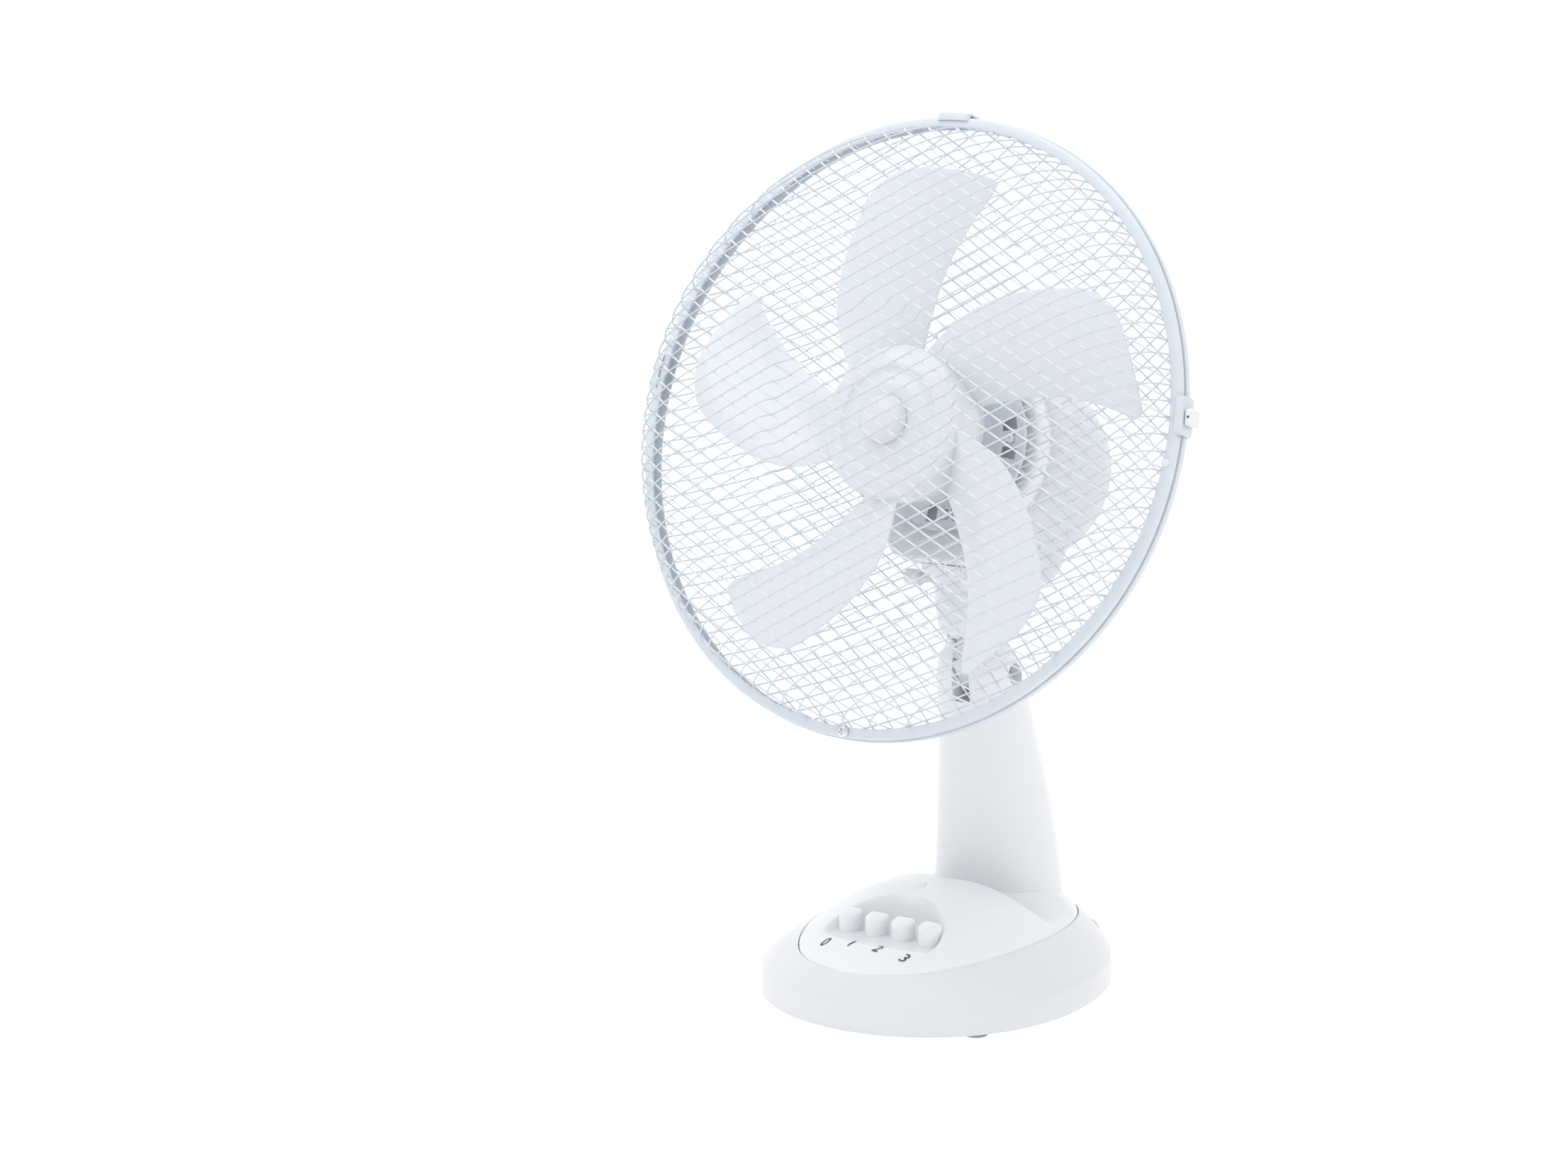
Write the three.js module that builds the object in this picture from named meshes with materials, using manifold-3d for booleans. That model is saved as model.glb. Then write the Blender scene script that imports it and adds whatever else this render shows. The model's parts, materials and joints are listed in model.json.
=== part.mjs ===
// A 40 cm desk fan: an oval base with four piano keys, a pillar, a neck that tilts on a
// bolt, and a head that swings on a pin in the neck. Millimetres, +Z up; the air leaves
// towards -Y. The origin is on the floor, under the middle of the fan's bounding box.
import * as THREE from 'three';
import { mergeVertices } from 'three/addons/utils/BufferGeometryUtils.js';
import Module from 'manifold-3d';

const wasm = await Module();
wasm.setup();

// ---------------------------------------------------------------- driving dimensions
const GAP = 0.3;                 // clearance between neighbouring pieces
const WALL = 2.4;                // moulded wall thickness
const BOX_SHIFT_Y = -11.3;       // from the base's centre to the bounding box's centre

const BASE_HALF_WIDTH = 119.5;
const BASE_HALF_DEPTH = 124.5;   // from the middle to the front
const BASE_REAR_DEPTH = 150;     // the plan is an egg, longer behind the middle
const BASE_SQUARENESS = 2.12;    // superellipse exponent of the outline
const SKIRT_BOTTOM = 3;
const SKIRT_TOP = 22;
const CROWN_HEIGHT = 79;         // highest point of the base's top
const CROWN_Y = 5;
const COVER_HALF_WIDTH = 91;     // oval seam between the base and its cover
const COVER_HALF_DEPTH = 110.5;
const COVER_Y = 1;
const SCREW_SPOTS = [[-102, -30], [102, -30], [-102, 30], [102, 30]];
const FOOT_SPOTS = [[-84, -72], [84, -72], [-84, 74], [84, 74]];
const GROMMET_X = 40;            // inlet of the lead, low at the back
const GROMMET_Z = 13;

const KEY_NAMES = ['key_off', 'key_low', 'key_medium', 'key_high'];
const KEY_PITCH = 22.3;
const KEY_WIDTH = 15.4;
const KEY_DEPTH = 12.6;
const KEY_ROW_Y = -56;
const KEY_FOOT = 44;             // underside of a key's stem
const KEY_TOP = 67;
const TRAY_FLOOR = 50;           // top of the recess floor around the keys
const TRAY_WALL = 2;

const PILLAR_SECTIONS = [        // height, half width, half depth, centre y
  [24, 53, 34.5, 86.5], [60, 50, 34, 86], [100, 46.5, 33, 83], [140, 41, 31.5, 77],
  [180, 35.5, 29.5, 70], [215, 33, 26.5, 61], [250, 28, 24, 57],
];
const TILT_Y = 59.5;              // tilt bolt, along X
const TILT_Z = 222;
const CLEVIS_RADIUS = 27;        // rounded top of the pillar about the tilt bolt
const SLOT_HALF = 7.4;           // slot between the pillar's two cheeks
const BRACKET_HALF = 6.4;        // half thickness of the steel bracket in that slot

const KNOB_Y = 40;               // locking knob on the neck's left side
const KNOB_Z = 288;
const NECK_SECTIONS = [          // height, radius, centre y
  [232, 23.5, 50.5], [245, 24.5, 50.5], [258, 26.5, 50.5], [276, 26.5, 50.5],
  [284, 28, 50.5], [290, 35.5, 50], [310, 37, 50],
];

// The head's own frame: its centre is the middle of the guard's rim, local z points
// forwards along the motor shaft, local y points up and back.
const HEAD_Y = -35.4;
const HEAD_Z = 408.7;
const HEAD_TILT = THREE.MathUtils.degToRad(18.2);
const SWING_Z = -118;            // swing axis, along local y
const NECK_TOP = -85;            // local y of the neck's slanted top
const CRANK_Z = SWING_Z - 26;    // crank axis behind the swing axis
const CRANK_THROW = 14.9;
const CRANK_PIN_Z = CRANK_Z + CRANK_THROW;
const LINK_POST_X = -22;         // post on the neck that the crank's link pulls on
const LINK_Y = -77;              // height of the link between the neck and the crank disc

const RIM_RADIUS = 218;
const RIM_FLANGE = 7.5;
const MESH_RADIUS = 209;         // where the guard wires end inside the rims
const FRONT_FACE_Z = 62;
const FACE_CROWN = 6;             // rise of the front guard's face inside its shoulder
const SHOULDER_RADIUS = 149;      // where the front guard's round shoulder begins
const DISC_RADIUS = 62;
const DISC_Z = -57;

const LUG_RADIUS = 51;
const LUG_ANGLES = [8, 98, 188, 278];
const WIRE_PITCH = 60;           // a coarse lattice, in two directions
const WIRE_ANGLES = [31, -26];
const WIRES_EACH_WAY = 6;
const WIRE_HALF = 1.3;

const HUB_RADIUS = 54;
const BLADE_COUNT = 5;
const FIRST_BLADE_DEG = 91.5;
const BLADE_SECTIONS = [         // radius, trailing and leading edge in degrees
  [50, 52, 3], [80, 44, 0], [110, 35, -3], [140, 25.5, -7.5], [165, 18.5, -11.5],
  [181, 11, -12.5],
];
const BLADE_THICKNESS = 2.2;
const SHAFT_RADIUS = 4;

// ---------------------------------------------------------------- materials
function finish(color, roughness, metalness = 0) {
  return () => new THREE.MeshStandardMaterial({ color, roughness, metalness });
}
const whitePlastic = finish(0xf3f5f7, 0.35);
const bladePlastic = finish(0xe6ebef, 0.25);
const coatedWire = finish(0xdfe6ec, 0.4, 0.1);
const coatedSteel = finish(0xcfd8e0, 0.42, 0.2);
const zincSteel = finish(0xb9bec4, 0.3, 0.9);
const castAlloy = finish(0xa4a8ad, 0.5, 0.8);
const laminations = finish(0x5d6166, 0.6, 0.7);
const copper = finish(0xb36a3a, 0.4, 0.8);
const bronze = finish(0x9b7b4a, 0.45, 0.8);
const greyRubber = finish(0x8a9096, 0.9);
const nylon = finish(0xe9e6da, 0.5);

// ---------------------------------------------------------------- solid helpers
function volumeOf(geometry) {
  const p = geometry.attributes.position;
  const index = geometry.index;
  const a = new THREE.Vector3();
  const b = new THREE.Vector3();
  const c = new THREE.Vector3();
  let sum = 0;
  for (let i = 0; i < index.count; i += 3) {
    a.fromBufferAttribute(p, index.getX(i));
    b.fromBufferAttribute(p, index.getX(i + 1));
    c.fromBufferAttribute(p, index.getX(i + 2));
    sum += a.dot(b.cross(c));
  }
  return sum / 6;
}

// One closed solid from a geometry, with its faces turned outwards.
function solid(geometry) {
  geometry.deleteAttribute('normal');
  geometry.deleteAttribute('uv');
  const welded = mergeVertices(geometry, 1e-4);
  const kept = [];
  const index = welded.index.array;
  for (let i = 0; i < index.length; i += 3) {
    const [a, b, c] = [index[i], index[i + 1], index[i + 2]];
    if (a !== b && b !== c && c !== a) kept.push(a, b, c);
  }
  welded.setIndex(kept);
  if (volumeOf(welded) < 0) {
    for (let i = 0; i < kept.length; i += 3) [kept[i], kept[i + 1]] = [kept[i + 1], kept[i]];
  }
  return new wasm.Manifold(new wasm.Mesh({
    numProp: 3,
    vertProperties: new Float32Array(welded.attributes.position.array),
    triVerts: new Uint32Array(kept),
  }));
}

function geometryOf(body) {
  const { vertProperties, triVerts } = body.getMesh();
  const geometry = new THREE.BufferGeometry();
  geometry.setAttribute('position', new THREE.BufferAttribute(vertProperties, 3));
  geometry.setIndex(new THREE.BufferAttribute(triVerts, 1));
  geometry.computeVertexNormals();
  return geometry;
}

function join(first, ...others) {
  return others.reduce((sum, other) => sum.add(other), first);
}

function cut(first, ...others) {
  return others.reduce((sum, other) => sum.subtract(other), first);
}

// The triangles that close one ring of a loft: a fan about its middle, or for a thin bent
// section a strip from its upper side to its lower side.
function capTriangles(points, start, count, thin) {
  const triangles = [];
  if (thin) {
    for (let i = 0; i < count / 2 - 1; i += 1) {
      const [a, b] = [start + i, start + i + 1];
      const [c, d] = [start + count - 2 - i, start + count - 1 - i];
      triangles.push([a, b, c], [a, c, d]);
    }
    return triangles;
  }
  const middle = new THREE.Vector3();
  points.slice(start, start + count).forEach((p) => middle.add(p));
  points.push(middle.divideScalar(count));
  const hub = points.length - 1;
  for (let i = 0; i < count; i += 1) {
    triangles.push([start + i, start + (i + 1) % count, hub]);
  }
  return triangles;
}

// Rings of equal length, joined one to the next and closed at each end.
function loft(rings, thin = false) {
  const count = rings[0].length;
  const points = rings.flat();
  const index = [];
  const last = (rings.length - 1) * count;
  for (let start = 0; start < last; start += count) {
    for (let i = 0; i < count; i += 1) {
      const a = start + i;
      const b = start + (i + 1) % count;
      index.push(a, b, a + count, b, b + count, a + count);
    }
  }
  capTriangles(points, 0, count, thin).forEach(([a, b, c]) => index.push(b, a, c));
  capTriangles(points, last, count, thin).forEach(([a, b, c]) => index.push(a, b, c));
  const geometry = new THREE.BufferGeometry().setFromPoints(points);
  geometry.setIndex(index);
  return solid(geometry);
}

// A solid of revolution about local z, from [radius, z] points.
function turned(profile, segments = 32) {
  const points = profile.map(([r, z]) => new THREE.Vector2(r, z));
  const geometry = new THREE.LatheGeometry(points, segments);
  return solid(geometry.rotateX(Math.PI / 2));
}

// A tube-like ring: inner and outer radius between two heights.
function ring(inner, outer, low, high, segments = 32) {
  return turned([[inner, low], [outer, low], [outer, high], [inner, high], [inner, low]],
    segments);
}

function rod(radius, low, high, segments = 20) {
  return turned([[0, low], [radius, low], [radius, high], [0, high]], segments);
}

function box(width, depth, height, x = 0, y = 0, z = 0) {
  return solid(new THREE.BoxGeometry(width, depth, height).translate(x, y, z));
}

function prism(outline, low, high) {
  const geometry = new THREE.ExtrudeGeometry(outline, {
    depth: high - low, bevelEnabled: false, curveSegments: 10,
  });
  return solid(geometry.translate(0, 0, low));
}

// An outline drawn in (y, z) and extruded along x, centred.
function sideways(outline, width) {
  const geometry = new THREE.ExtrudeGeometry(outline, {
    depth: width, bevelEnabled: false, curveSegments: 8,
  });
  geometry.translate(0, 0, -width / 2);
  geometry.rotateY(Math.PI / 2);
  geometry.rotateX(Math.PI / 2);
  return solid(geometry);
}

function ovalShape(halfWidth, halfDepth, y = 0, segments = 44) {
  const oval = new THREE.EllipseCurve(0, y, halfWidth, halfDepth, 0, 2 * Math.PI);
  return new THREE.Shape(oval.getPoints(segments).slice(0, segments));
}

// Turns a solid made about z so that it points along x or y.
const alongX = (body) => body.rotate([0, 90, 0]);
const alongY = (body) => body.rotate([-90, 0, 0]);

const fan = new THREE.Group();
fan.position.y = BOX_SHIFT_Y;
const head = new THREE.Group();
head.position.set(0, HEAD_Y, HEAD_Z);
head.rotation.x = Math.PI / 2 - HEAD_TILT;
fan.add(head);

function add(parent, name, body, material) {
  const mesh = new THREE.Mesh(geometryOf(body), material());
  mesh.name = name;
  parent.add(mesh);
}

// The head's solids moved into the fan's upright frame, for cuts across the two.
function fromHead(body) {
  const degrees = THREE.MathUtils.radToDeg(head.rotation.x);
  return body.rotate([degrees, 0, 0]).translate([0, HEAD_Y, HEAD_Z]);
}

// ---------------------------------------------------------------- base
function baseRing(scale, z, inset, count = 36) {
  const points = [];
  for (let i = 0; i < count; i += 1) {
    const angle = (2 * Math.PI * i) / count;
    const c = Math.cos(angle);
    const s = Math.sin(angle);
    const power = 2 / BASE_SQUARENESS;
    const x = (BASE_HALF_WIDTH - inset) * Math.sign(c) * Math.abs(c) ** power;
    const depth = s > 0 ? BASE_REAR_DEPTH : BASE_HALF_DEPTH;
    const y = (depth - inset) * Math.sign(s) * Math.abs(s) ** power;
    // the crown falls off almost straight to the front and rounder to the rear
    const fullness = 1.4 + 0.8 * ((1 + s) / 2) ** 1.5;
    const height = typeof z === 'number' ? z : z(scale, fullness);
    points.push(new THREE.Vector3(x * scale, CROWN_Y + (y - CROWN_Y) * scale, height));
  }
  return points;
}

function baseBody(inset, bottom) {
  const rise = CROWN_HEIGHT - SKIRT_TOP;
  const top = (scale, fullness) => SKIRT_TOP - inset + rise * (1 - scale ** fullness);
  const rings = [baseRing(1, bottom, inset), baseRing(1, SKIRT_TOP - inset, inset)];
  [0.97, 0.84, 0.64, 0.42, 0.2].forEach((scale) => {
    rings.push(baseRing(scale, top, inset));
  });
  return loft(rings);
}

const baseOuter = baseBody(0, SKIRT_BOTTOM);
const baseShell = cut(baseOuter, baseBody(WALL, SKIRT_BOTTOM - 1));

function coverPrism(grow) {
  const oval = ovalShape(COVER_HALF_WIDTH + grow, COVER_HALF_DEPTH + grow, COVER_Y);
  return prism(oval, SKIRT_BOTTOM - 2, CROWN_HEIGHT + 10);
}

function grommetAxis(body) {
  return alongY(body).translate([GROMMET_X, 0, GROMMET_Z]);
}

function buildBase() {
  const bosses = SCREW_SPOTS.map(([x, y]) => rod(5, 7.5, 40, 12).translate([x, y, 0]));
  const pilots = SCREW_SPOTS.map(([x, y]) => rod(2.2, 5, 22, 10).translate([x, y, 0]));
  const solidBosses = join(...bosses).intersect(baseBody(WALL / 2, SKIRT_BOTTOM));
  const cordHole = grommetAxis(rod(6.4, 60, 160, 16));
  const shell = cut(join(baseShell, solidBosses), coverPrism(GAP / 2), ...pilots, cordHole);
  add(fan, 'base_shell', shell, whitePlastic);

  const plateOutline = baseRing(1, 0, WALL + 1).map((p) => new THREE.Vector2(p.x, p.y));
  const holes = SCREW_SPOTS.map(([x, y]) => rod(2.3, 0, 20, 10).translate([x, y, 0]));
  const plate = cut(prism(new THREE.Shape(plateOutline), 4.2, 6.8), ...holes);
  add(fan, 'base_plate', plate, whitePlastic);

  SCREW_SPOTS.forEach(([x, y], i) => {
    const screw = turned([[0, 2], [3.8, 2], [3.8, 3.9], [1.9, 3.9], [1.9, 20], [0, 20]], 12);
    add(fan, `base_screw_${i + 1}`, screw.translate([x, y, 0]), zincSteel);
  });
  FOOT_SPOTS.forEach(([x, y], i) => {
    const foot = turned([[0, 0], [8, 0], [9, 1], [9, 3.9], [0, 3.9]], 20);
    add(fan, `foot_${i + 1}`, foot.translate([x, y, 0]), greyRubber);
  });

  const reach = BASE_REAR_DEPTH - 4;
  const grommet = turned([[3.6, reach - 6], [6, reach - 6], [6, reach + 3.4], [8.6, reach + 3.4],
    [7.6, reach + 6.4], [3.6, reach + 6.4], [3.6, reach - 6]], 16);
  add(fan, 'cord_grommet', grommetAxis(grommet), greyRubber);
}

// ---------------------------------------------------------------- keys and their cover
function traySolid(grow, low, high) {
  const outline = new THREE.Shape();
  const halfWidth = 50 + grow;
  const front = -69.5 - grow;
  outline.absellipse(0, front, halfWidth, 43 + 2 * grow, 0, Math.PI, false);
  outline.closePath();
  return prism(outline, low, high);
}

function keyX(i) {
  return (i - (KEY_NAMES.length - 1) / 2) * KEY_PITCH;
}

function buildCover() {
  const inside = baseBody(WALL / 2, SKIRT_BOTTOM);
  const tray = traySolid(TRAY_WALL, TRAY_FLOOR - TRAY_WALL, CROWN_HEIGHT).intersect(inside);
  const keyHoles = KEY_NAMES.map((_, i) => box(KEY_WIDTH + 0.8, KEY_DEPTH + 0.8, 30,
    keyX(i), KEY_ROW_Y, TRAY_FLOOR));
  const wireHole = rod(10, 20, 80, 16).translate([0, 86, 0]);
  const skin = baseShell.intersect(coverPrism(-GAP / 2));
  const cover = cut(join(skin, tray), traySolid(0, TRAY_FLOOR, CROWN_HEIGHT + 5),
    ...keyHoles, wireHole);
  add(fan, 'control_cover', cover, whitePlastic);
}

function buildKeys() {
  KEY_NAMES.forEach((name, i) => {
    const half = KEY_DEPTH / 2;
    const side = new THREE.Shape();
    side.moveTo(-half, KEY_FOOT);
    side.lineTo(half, KEY_FOOT);
    side.lineTo(half, KEY_TOP - 1);
    side.quadraticCurveTo(half, KEY_TOP, half - 2, KEY_TOP);
    side.quadraticCurveTo(-1, KEY_TOP - 2.5, -half + 1.5, KEY_TOP - 5.5);
    side.quadraticCurveTo(-half, KEY_TOP - 6, -half, KEY_TOP - 8);
    const stem = sideways(side, KEY_WIDTH);
    const flange = box(KEY_WIDTH + 3, KEY_DEPTH + 3, 2, 0, 0, KEY_FOOT);
    add(fan, name, join(stem, flange).translate([keyX(i), KEY_ROW_Y, 0]), whitePlastic);
  });
  const block = box(88, 26, 16, 0, KEY_ROW_Y, 28);
  const plungerHoles = KEY_NAMES.map((_, i) => box(9, 7, 10, keyX(i), KEY_ROW_Y, 36));
  add(fan, 'switch_block', cut(block, ...plungerHoles), nylon);
}

// ---------------------------------------------------------------- pillar and tilt bolt
function ellipseRing(z, halfWidth, halfDepth, y, count) {
  const points = [];
  for (let i = 0; i < count; i += 1) {
    const angle = (2 * Math.PI * i) / count;
    points.push(new THREE.Vector3(halfWidth * Math.cos(angle), y + halfDepth * Math.sin(angle), z));
  }
  return points;
}

function pillarBody(inset, top) {
  const sections = PILLAR_SECTIONS.filter(([z]) => z < top);
  const rings = sections.map(([z, a, b, y]) => ellipseRing(z, a - inset, b - inset, y, 24));
  return loft(rings);
}

function atTiltBolt(body) {
  return alongX(body).translate([0, TILT_Y, TILT_Z]);
}

function buildPillar() {
  const domed = pillarBody(0, 260);
  const aboveBolt = box(120, 120, 60, 0, TILT_Y, TILT_Z + 30);
  const roundTop = atTiltBolt(rod(CLEVIS_RADIUS, -60, 60, 40));
  const outer = cut(domed, cut(aboveBolt, roundTop));
  const hollow = pillarBody(WALL + 0.6, 190).translate([0, 0, -4]);
  const slot = box(2 * SLOT_HALF, 90, 80, 0, TILT_Y - 2, TILT_Z - 20 + 40);
  const boltHole = atTiltBolt(rod(4.3, -60, 60, 16));
  const counterbores = [-1, 1].map((side) => atTiltBolt(rod(8, 0, 20, 20))
    .translate([side > 0 ? 17.5 : -37.5, 0, 0]));
  const foot = baseOuter.translate([0, 0, GAP + 0.2]);
  add(fan, 'pillar', cut(outer, hollow, slot, boltHole, ...counterbores, foot), whitePlastic);

  const bolt = turned([[0, -22], [3.9, -22], [3.9, 17.8], [7.2, 17.8], [7.2, 21.5], [0, 21.5]]);
  add(fan, 'tilt_bolt', atTiltBolt(bolt), zincSteel);
  add(fan, 'tilt_nut', atTiltBolt(ring(4.8, 7.4, -21.5, -17.8, 6)), zincSteel);
}

// ---------------------------------------------------------------- neck
// A rod along the head's y axis, between two heights.
function uprightRod(radius, low, high, x, z, segments = 20) {
  return solid(new THREE.CylinderGeometry(radius, radius, high - low, segments)
    .translate(x, (low + high) / 2, z));
}

function swingRod(radius, low, high) {
  return uprightRod(radius, low, high, 0, SWING_Z, 24);
}

function crankRod(radius, low, high, segments = 20) {
  return uprightRod(radius, low, high, 0, CRANK_Z, segments);
}

function buildNeck() {
  const rings = NECK_SECTIONS.map(([z, r, y]) => ellipseRing(z, r, r, y, 32));
  const aboveTop = fromHead(box(160, 80, 200, 0, NECK_TOP + 40, SWING_Z));
  const saddle = atTiltBolt(rod(CLEVIS_RADIUS + 2.2, -60, 60, 40));
  const bracketSlot = box(2 * (BRACKET_HALF + GAP), 52, 60, 0, TILT_Y - 4.5, TILT_Z + 3.4);
  const bore = fromHead(swingRod(9.3, NECK_TOP - 26, NECK_TOP + 5));
  const post = fromHead(uprightRod(2.5, NECK_TOP - 2, NECK_TOP + 12, LINK_POST_X, CRANK_PIN_Z, 12));
  const knobHole = alongX(rod(3.4, -60, -20, 12)).translate([0, KNOB_Y, KNOB_Z]);
  const casing = cut(loft(rings), aboveTop, saddle, bracketSlot, bore, knobHole);
  add(fan, 'neck', join(casing, post), whitePlastic);

  const plate = new THREE.Shape();
  plate.moveTo(TILT_Y + 16, TILT_Z);
  plate.lineTo(TILT_Y + 14, TILT_Z + 33);
  plate.lineTo(TILT_Y - 25, TILT_Z + 33);
  plate.lineTo(TILT_Y - 25, TILT_Z + 8);
  plate.lineTo(TILT_Y - 16, TILT_Z - 8);
  plate.absarc(TILT_Y, TILT_Z, 16, Math.PI * 1.2, 2 * Math.PI, false);
  const pivotHole = atTiltBolt(rod(4.05, -60, 60, 24));
  const bracket = cut(sideways(plate, 2 * BRACKET_HALF), pivotHole);
  add(fan, 'tilt_bracket', bracket, coatedSteel);

  const bushBore = swingRod(6.1, NECK_TOP - 40, NECK_TOP + 5);
  const bush = cut(swingRod(9, NECK_TOP - 25, NECK_TOP - 0.5), bushBore);
  add(head, 'swivel_bush', bush, bronze);
}

function buildLockKnob() {
  const knob = turned([[0, 24], [3, 24], [3, 36.5], [5.8, 37], [6.2, 39], [6, 47.5], [5, 49.6],
    [0, 50.5]], 16);
  const placed = knob.rotate([0, -90, 0]).translate([0, KNOB_Y, KNOB_Z]);
  add(fan, 'lock_knob', placed, whitePlastic);
}

// ---------------------------------------------------------------- motor
function buildMotor() {
  const bellProfile = [[9.2, -84], [47, -84], [49, -86], [49, -96], [46, -96], [46, -87], [9.2, -87],
    [9.2, -84]];
  add(head, 'end_bell_front', turned(bellProfile, 24), castAlloy);
  const rearProfile = bellProfile.map(([r, z]) => [r, -208 - z]).reverse();
  add(head, 'end_bell_rear', turned(rearProfile, 24), castAlloy);
  add(head, 'stator_core', ring(24, 48.6, -111, -97, 24), laminations);
  add(head, 'winding_front', ring(26, 41, -96.6, -89, 20), copper);
  add(head, 'winding_rear', ring(26, 41, -119, -111.4, 20), copper);
  add(head, 'bearing_front', ring(SHAFT_RADIUS + 0.15, 8.9, -88, -83, 16), bronze);
  add(head, 'bearing_rear', ring(SHAFT_RADIUS + 0.15, 8.9, -125, -120, 16), bronze);
  const shaft = turned([[0, -158], [SHAFT_RADIUS, -158], [SHAFT_RADIUS, 27], [0, 27]], 16);
  add(head, 'motor_shaft', shaft, zincSteel);
  add(head, 'rotor_core', ring(SHAFT_RADIUS + GAP, 23.3, -112, -96, 28), laminations);

  const pin = join(swingRod(6, NECK_TOP - 24, -54), swingRod(11, -55, -51));
  add(head, 'swivel_pin', pin, zincSteel);
}

function buildGearbox() {
  const shell = box(44, 40, 38, 0, -8, CRANK_Z - 4);
  const inner = box(38, 34, 38, 0, -8, CRANK_Z);
  const shaftHole = crankRod(3.6, -40, 40, 16);
  add(head, 'gearbox_case', cut(shell, inner, shaftHole), castAlloy);

  const wheel = crankRod(12, -17, -11, 24);
  const wheelShaft = crankRod(3, -62, -12, 12);
  const disc = crankRod(17.5, -65, -61, 28);
  const crankPin = uprightRod(2.5, -82, -63, 0, CRANK_PIN_Z, 12);
  add(head, 'worm_wheel', join(wheel, wheelShaft, disc, crankPin), nylon);

  const knob = turned([[0, 5.5], [2.6, 5.5], [2.6, 79], [6, 79], [9.5, 80], [10.5, 84], [9.5, 94],
    [7, 98], [0, 99]], 24);
  add(head, 'clutch_knob', knob.rotate([-90, 0, 0]).translate([0, 0, CRANK_Z]), whitePlastic);
}

// The link's eye is long enough for the post to travel in it as the head swings.
function linkOval(halfWidth, halfLength, thickness) {
  const oval = new THREE.Shape();
  oval.absellipse(LINK_POST_X - 1.3, 5.1, halfWidth, halfLength, 0, 2 * Math.PI, false);
  return prism(oval, -thickness / 2, thickness / 2).rotate([90, 0, 0])
    .translate([0, LINK_Y, CRANK_PIN_Z]);
}

function buildLink() {
  const thickness = 2.4;
  const arm = box(24, thickness, 7, -12, LINK_Y, CRANK_PIN_Z);
  const end = uprightRod(4.4, LINK_Y - thickness / 2, LINK_Y + thickness / 2, 0, CRANK_PIN_Z);
  const pinHole = uprightRod(2.6, LINK_Y - 10, LINK_Y + 10, 0, CRANK_PIN_Z, 16);
  const plate = join(arm, end, linkOval(9.6, 13, thickness));
  add(head, 'crank_link', cut(plate, linkOval(7, 10.4, 12), pinHole), zincSteel);
}

// ---------------------------------------------------------------- motor housing
function chin(inset, low, rearZ, frontZ) {
  const corner = 14 - inset;
  const side = new THREE.Shape();
  const rear = rearZ + inset;
  side.moveTo(low + inset, frontZ);
  side.lineTo(0, frontZ);
  side.lineTo(0, rear);
  side.lineTo(low + inset + corner, rear);
  side.absarc(low + inset + corner, rear + corner, corner, -Math.PI / 2, Math.PI, true);
  return sideways(side, 2 * (48 - inset));
}

function buildHousing() {
  const profile = (inset, front) => [[0, front], [70 - inset, front], [70 - inset, -150],
    [66.5 - inset, -168], [59 - inset, -182 + inset], [45 - inset, -192 + inset],
    [22, -197 + inset], [0, -198 + inset]];
  const outer = join(turned(profile(0, -84), 32), chin(0, -82.5, -168, -84));
  const inner = join(turned(profile(WALL, -80), 32), chin(WALL, -100, -168, -80));
  const knobHole = crankRod(4, 40, 100, 16);
  const rear = cut(outer, inner, knobHole);
  add(head, 'rear_housing', rear, whitePlastic);

  const frontOuter = join(turned([[0, -83.6], [68, -83.6], [68, -70], [66, -67.5], [0, -67.5]], 32),
    chinFront(0, -83.6, -67.5));
  const frontInner = join(rod(68 - WALL, -90, -70, 32), chinFront(WALL, -90, -70));
  const noseHole = rod(21, -100, -60, 20);
  const front = cut(frontOuter, frontInner, noseHole);
  add(head, 'front_housing', join(front, ...lugs()), whitePlastic);
}

function chinFront(inset, low, high) {
  const shape = new THREE.Shape();
  const half = 46 - inset;
  const bottom = -82.5 + inset;
  shape.moveTo(half, 0);
  shape.lineTo(-half, 0);
  shape.lineTo(-half, bottom + 8);
  shape.quadraticCurveTo(-half, bottom, -half + 8, bottom);
  shape.lineTo(half - 8, bottom);
  shape.quadraticCurveTo(half, bottom, half, bottom + 8);
  return prism(shape, low, high);
}

// Four lugs on the motor's front carry the rear guard's disc.
function atLug(body, degrees) {
  return body.translate([LUG_RADIUS, 0, 0]).rotate([0, 0, degrees]);
}

function lugs() {
  return LUG_ANGLES.map((degrees) => atLug(rod(5, -68, DISC_Z - 2.2, 16), degrees)
    .add(atLug(rod(3.2, -62, DISC_Z + 3, 14), degrees)));
}

// ---------------------------------------------------------------- guards
function rimSolid(front) {
  const outer = front ? RIM_RADIUS - 1 : RIM_RADIUS;
  const inner = outer - RIM_FLANGE;
  const [lip, face] = front ? [0.8, 6.5] : [-0.8, -6.5];
  const wall = front ? -1.6 : 1.6;
  return turned([[inner, face], [inner, face + wall], [outer - 1.8, face + wall],
    [outer - 1.8, lip], [outer, lip], [outer, face], [inner, face]].reverse(), 56);
}

// Height of the front or rear wire surface above a point at a given radius. The front is a nearly
// flat face with a round shoulder, and the rear falls off towards the rim.
function domeHeight(radius, front) {
  if (front) {
    const t = Math.max(0, (radius - SHOULDER_RADIUS) / (MESH_RADIUS - SHOULDER_RADIUS));
    const crown = FACE_CROWN * (1 - Math.min(1, radius / SHOULDER_RADIUS) ** 2);
    const shoulder = FRONT_FACE_Z - 4 - FACE_CROWN;
    return 4 + shoulder * Math.sqrt(Math.max(0, 1 - t * t)) + crown;
  }
  const flat = DISC_RADIUS - 4;
  const t = Math.max(0, (radius - flat) / (MESH_RADIUS - flat));
  return -4 + (DISC_Z + 4) * (1 - t ** 2.4);
}

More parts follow.
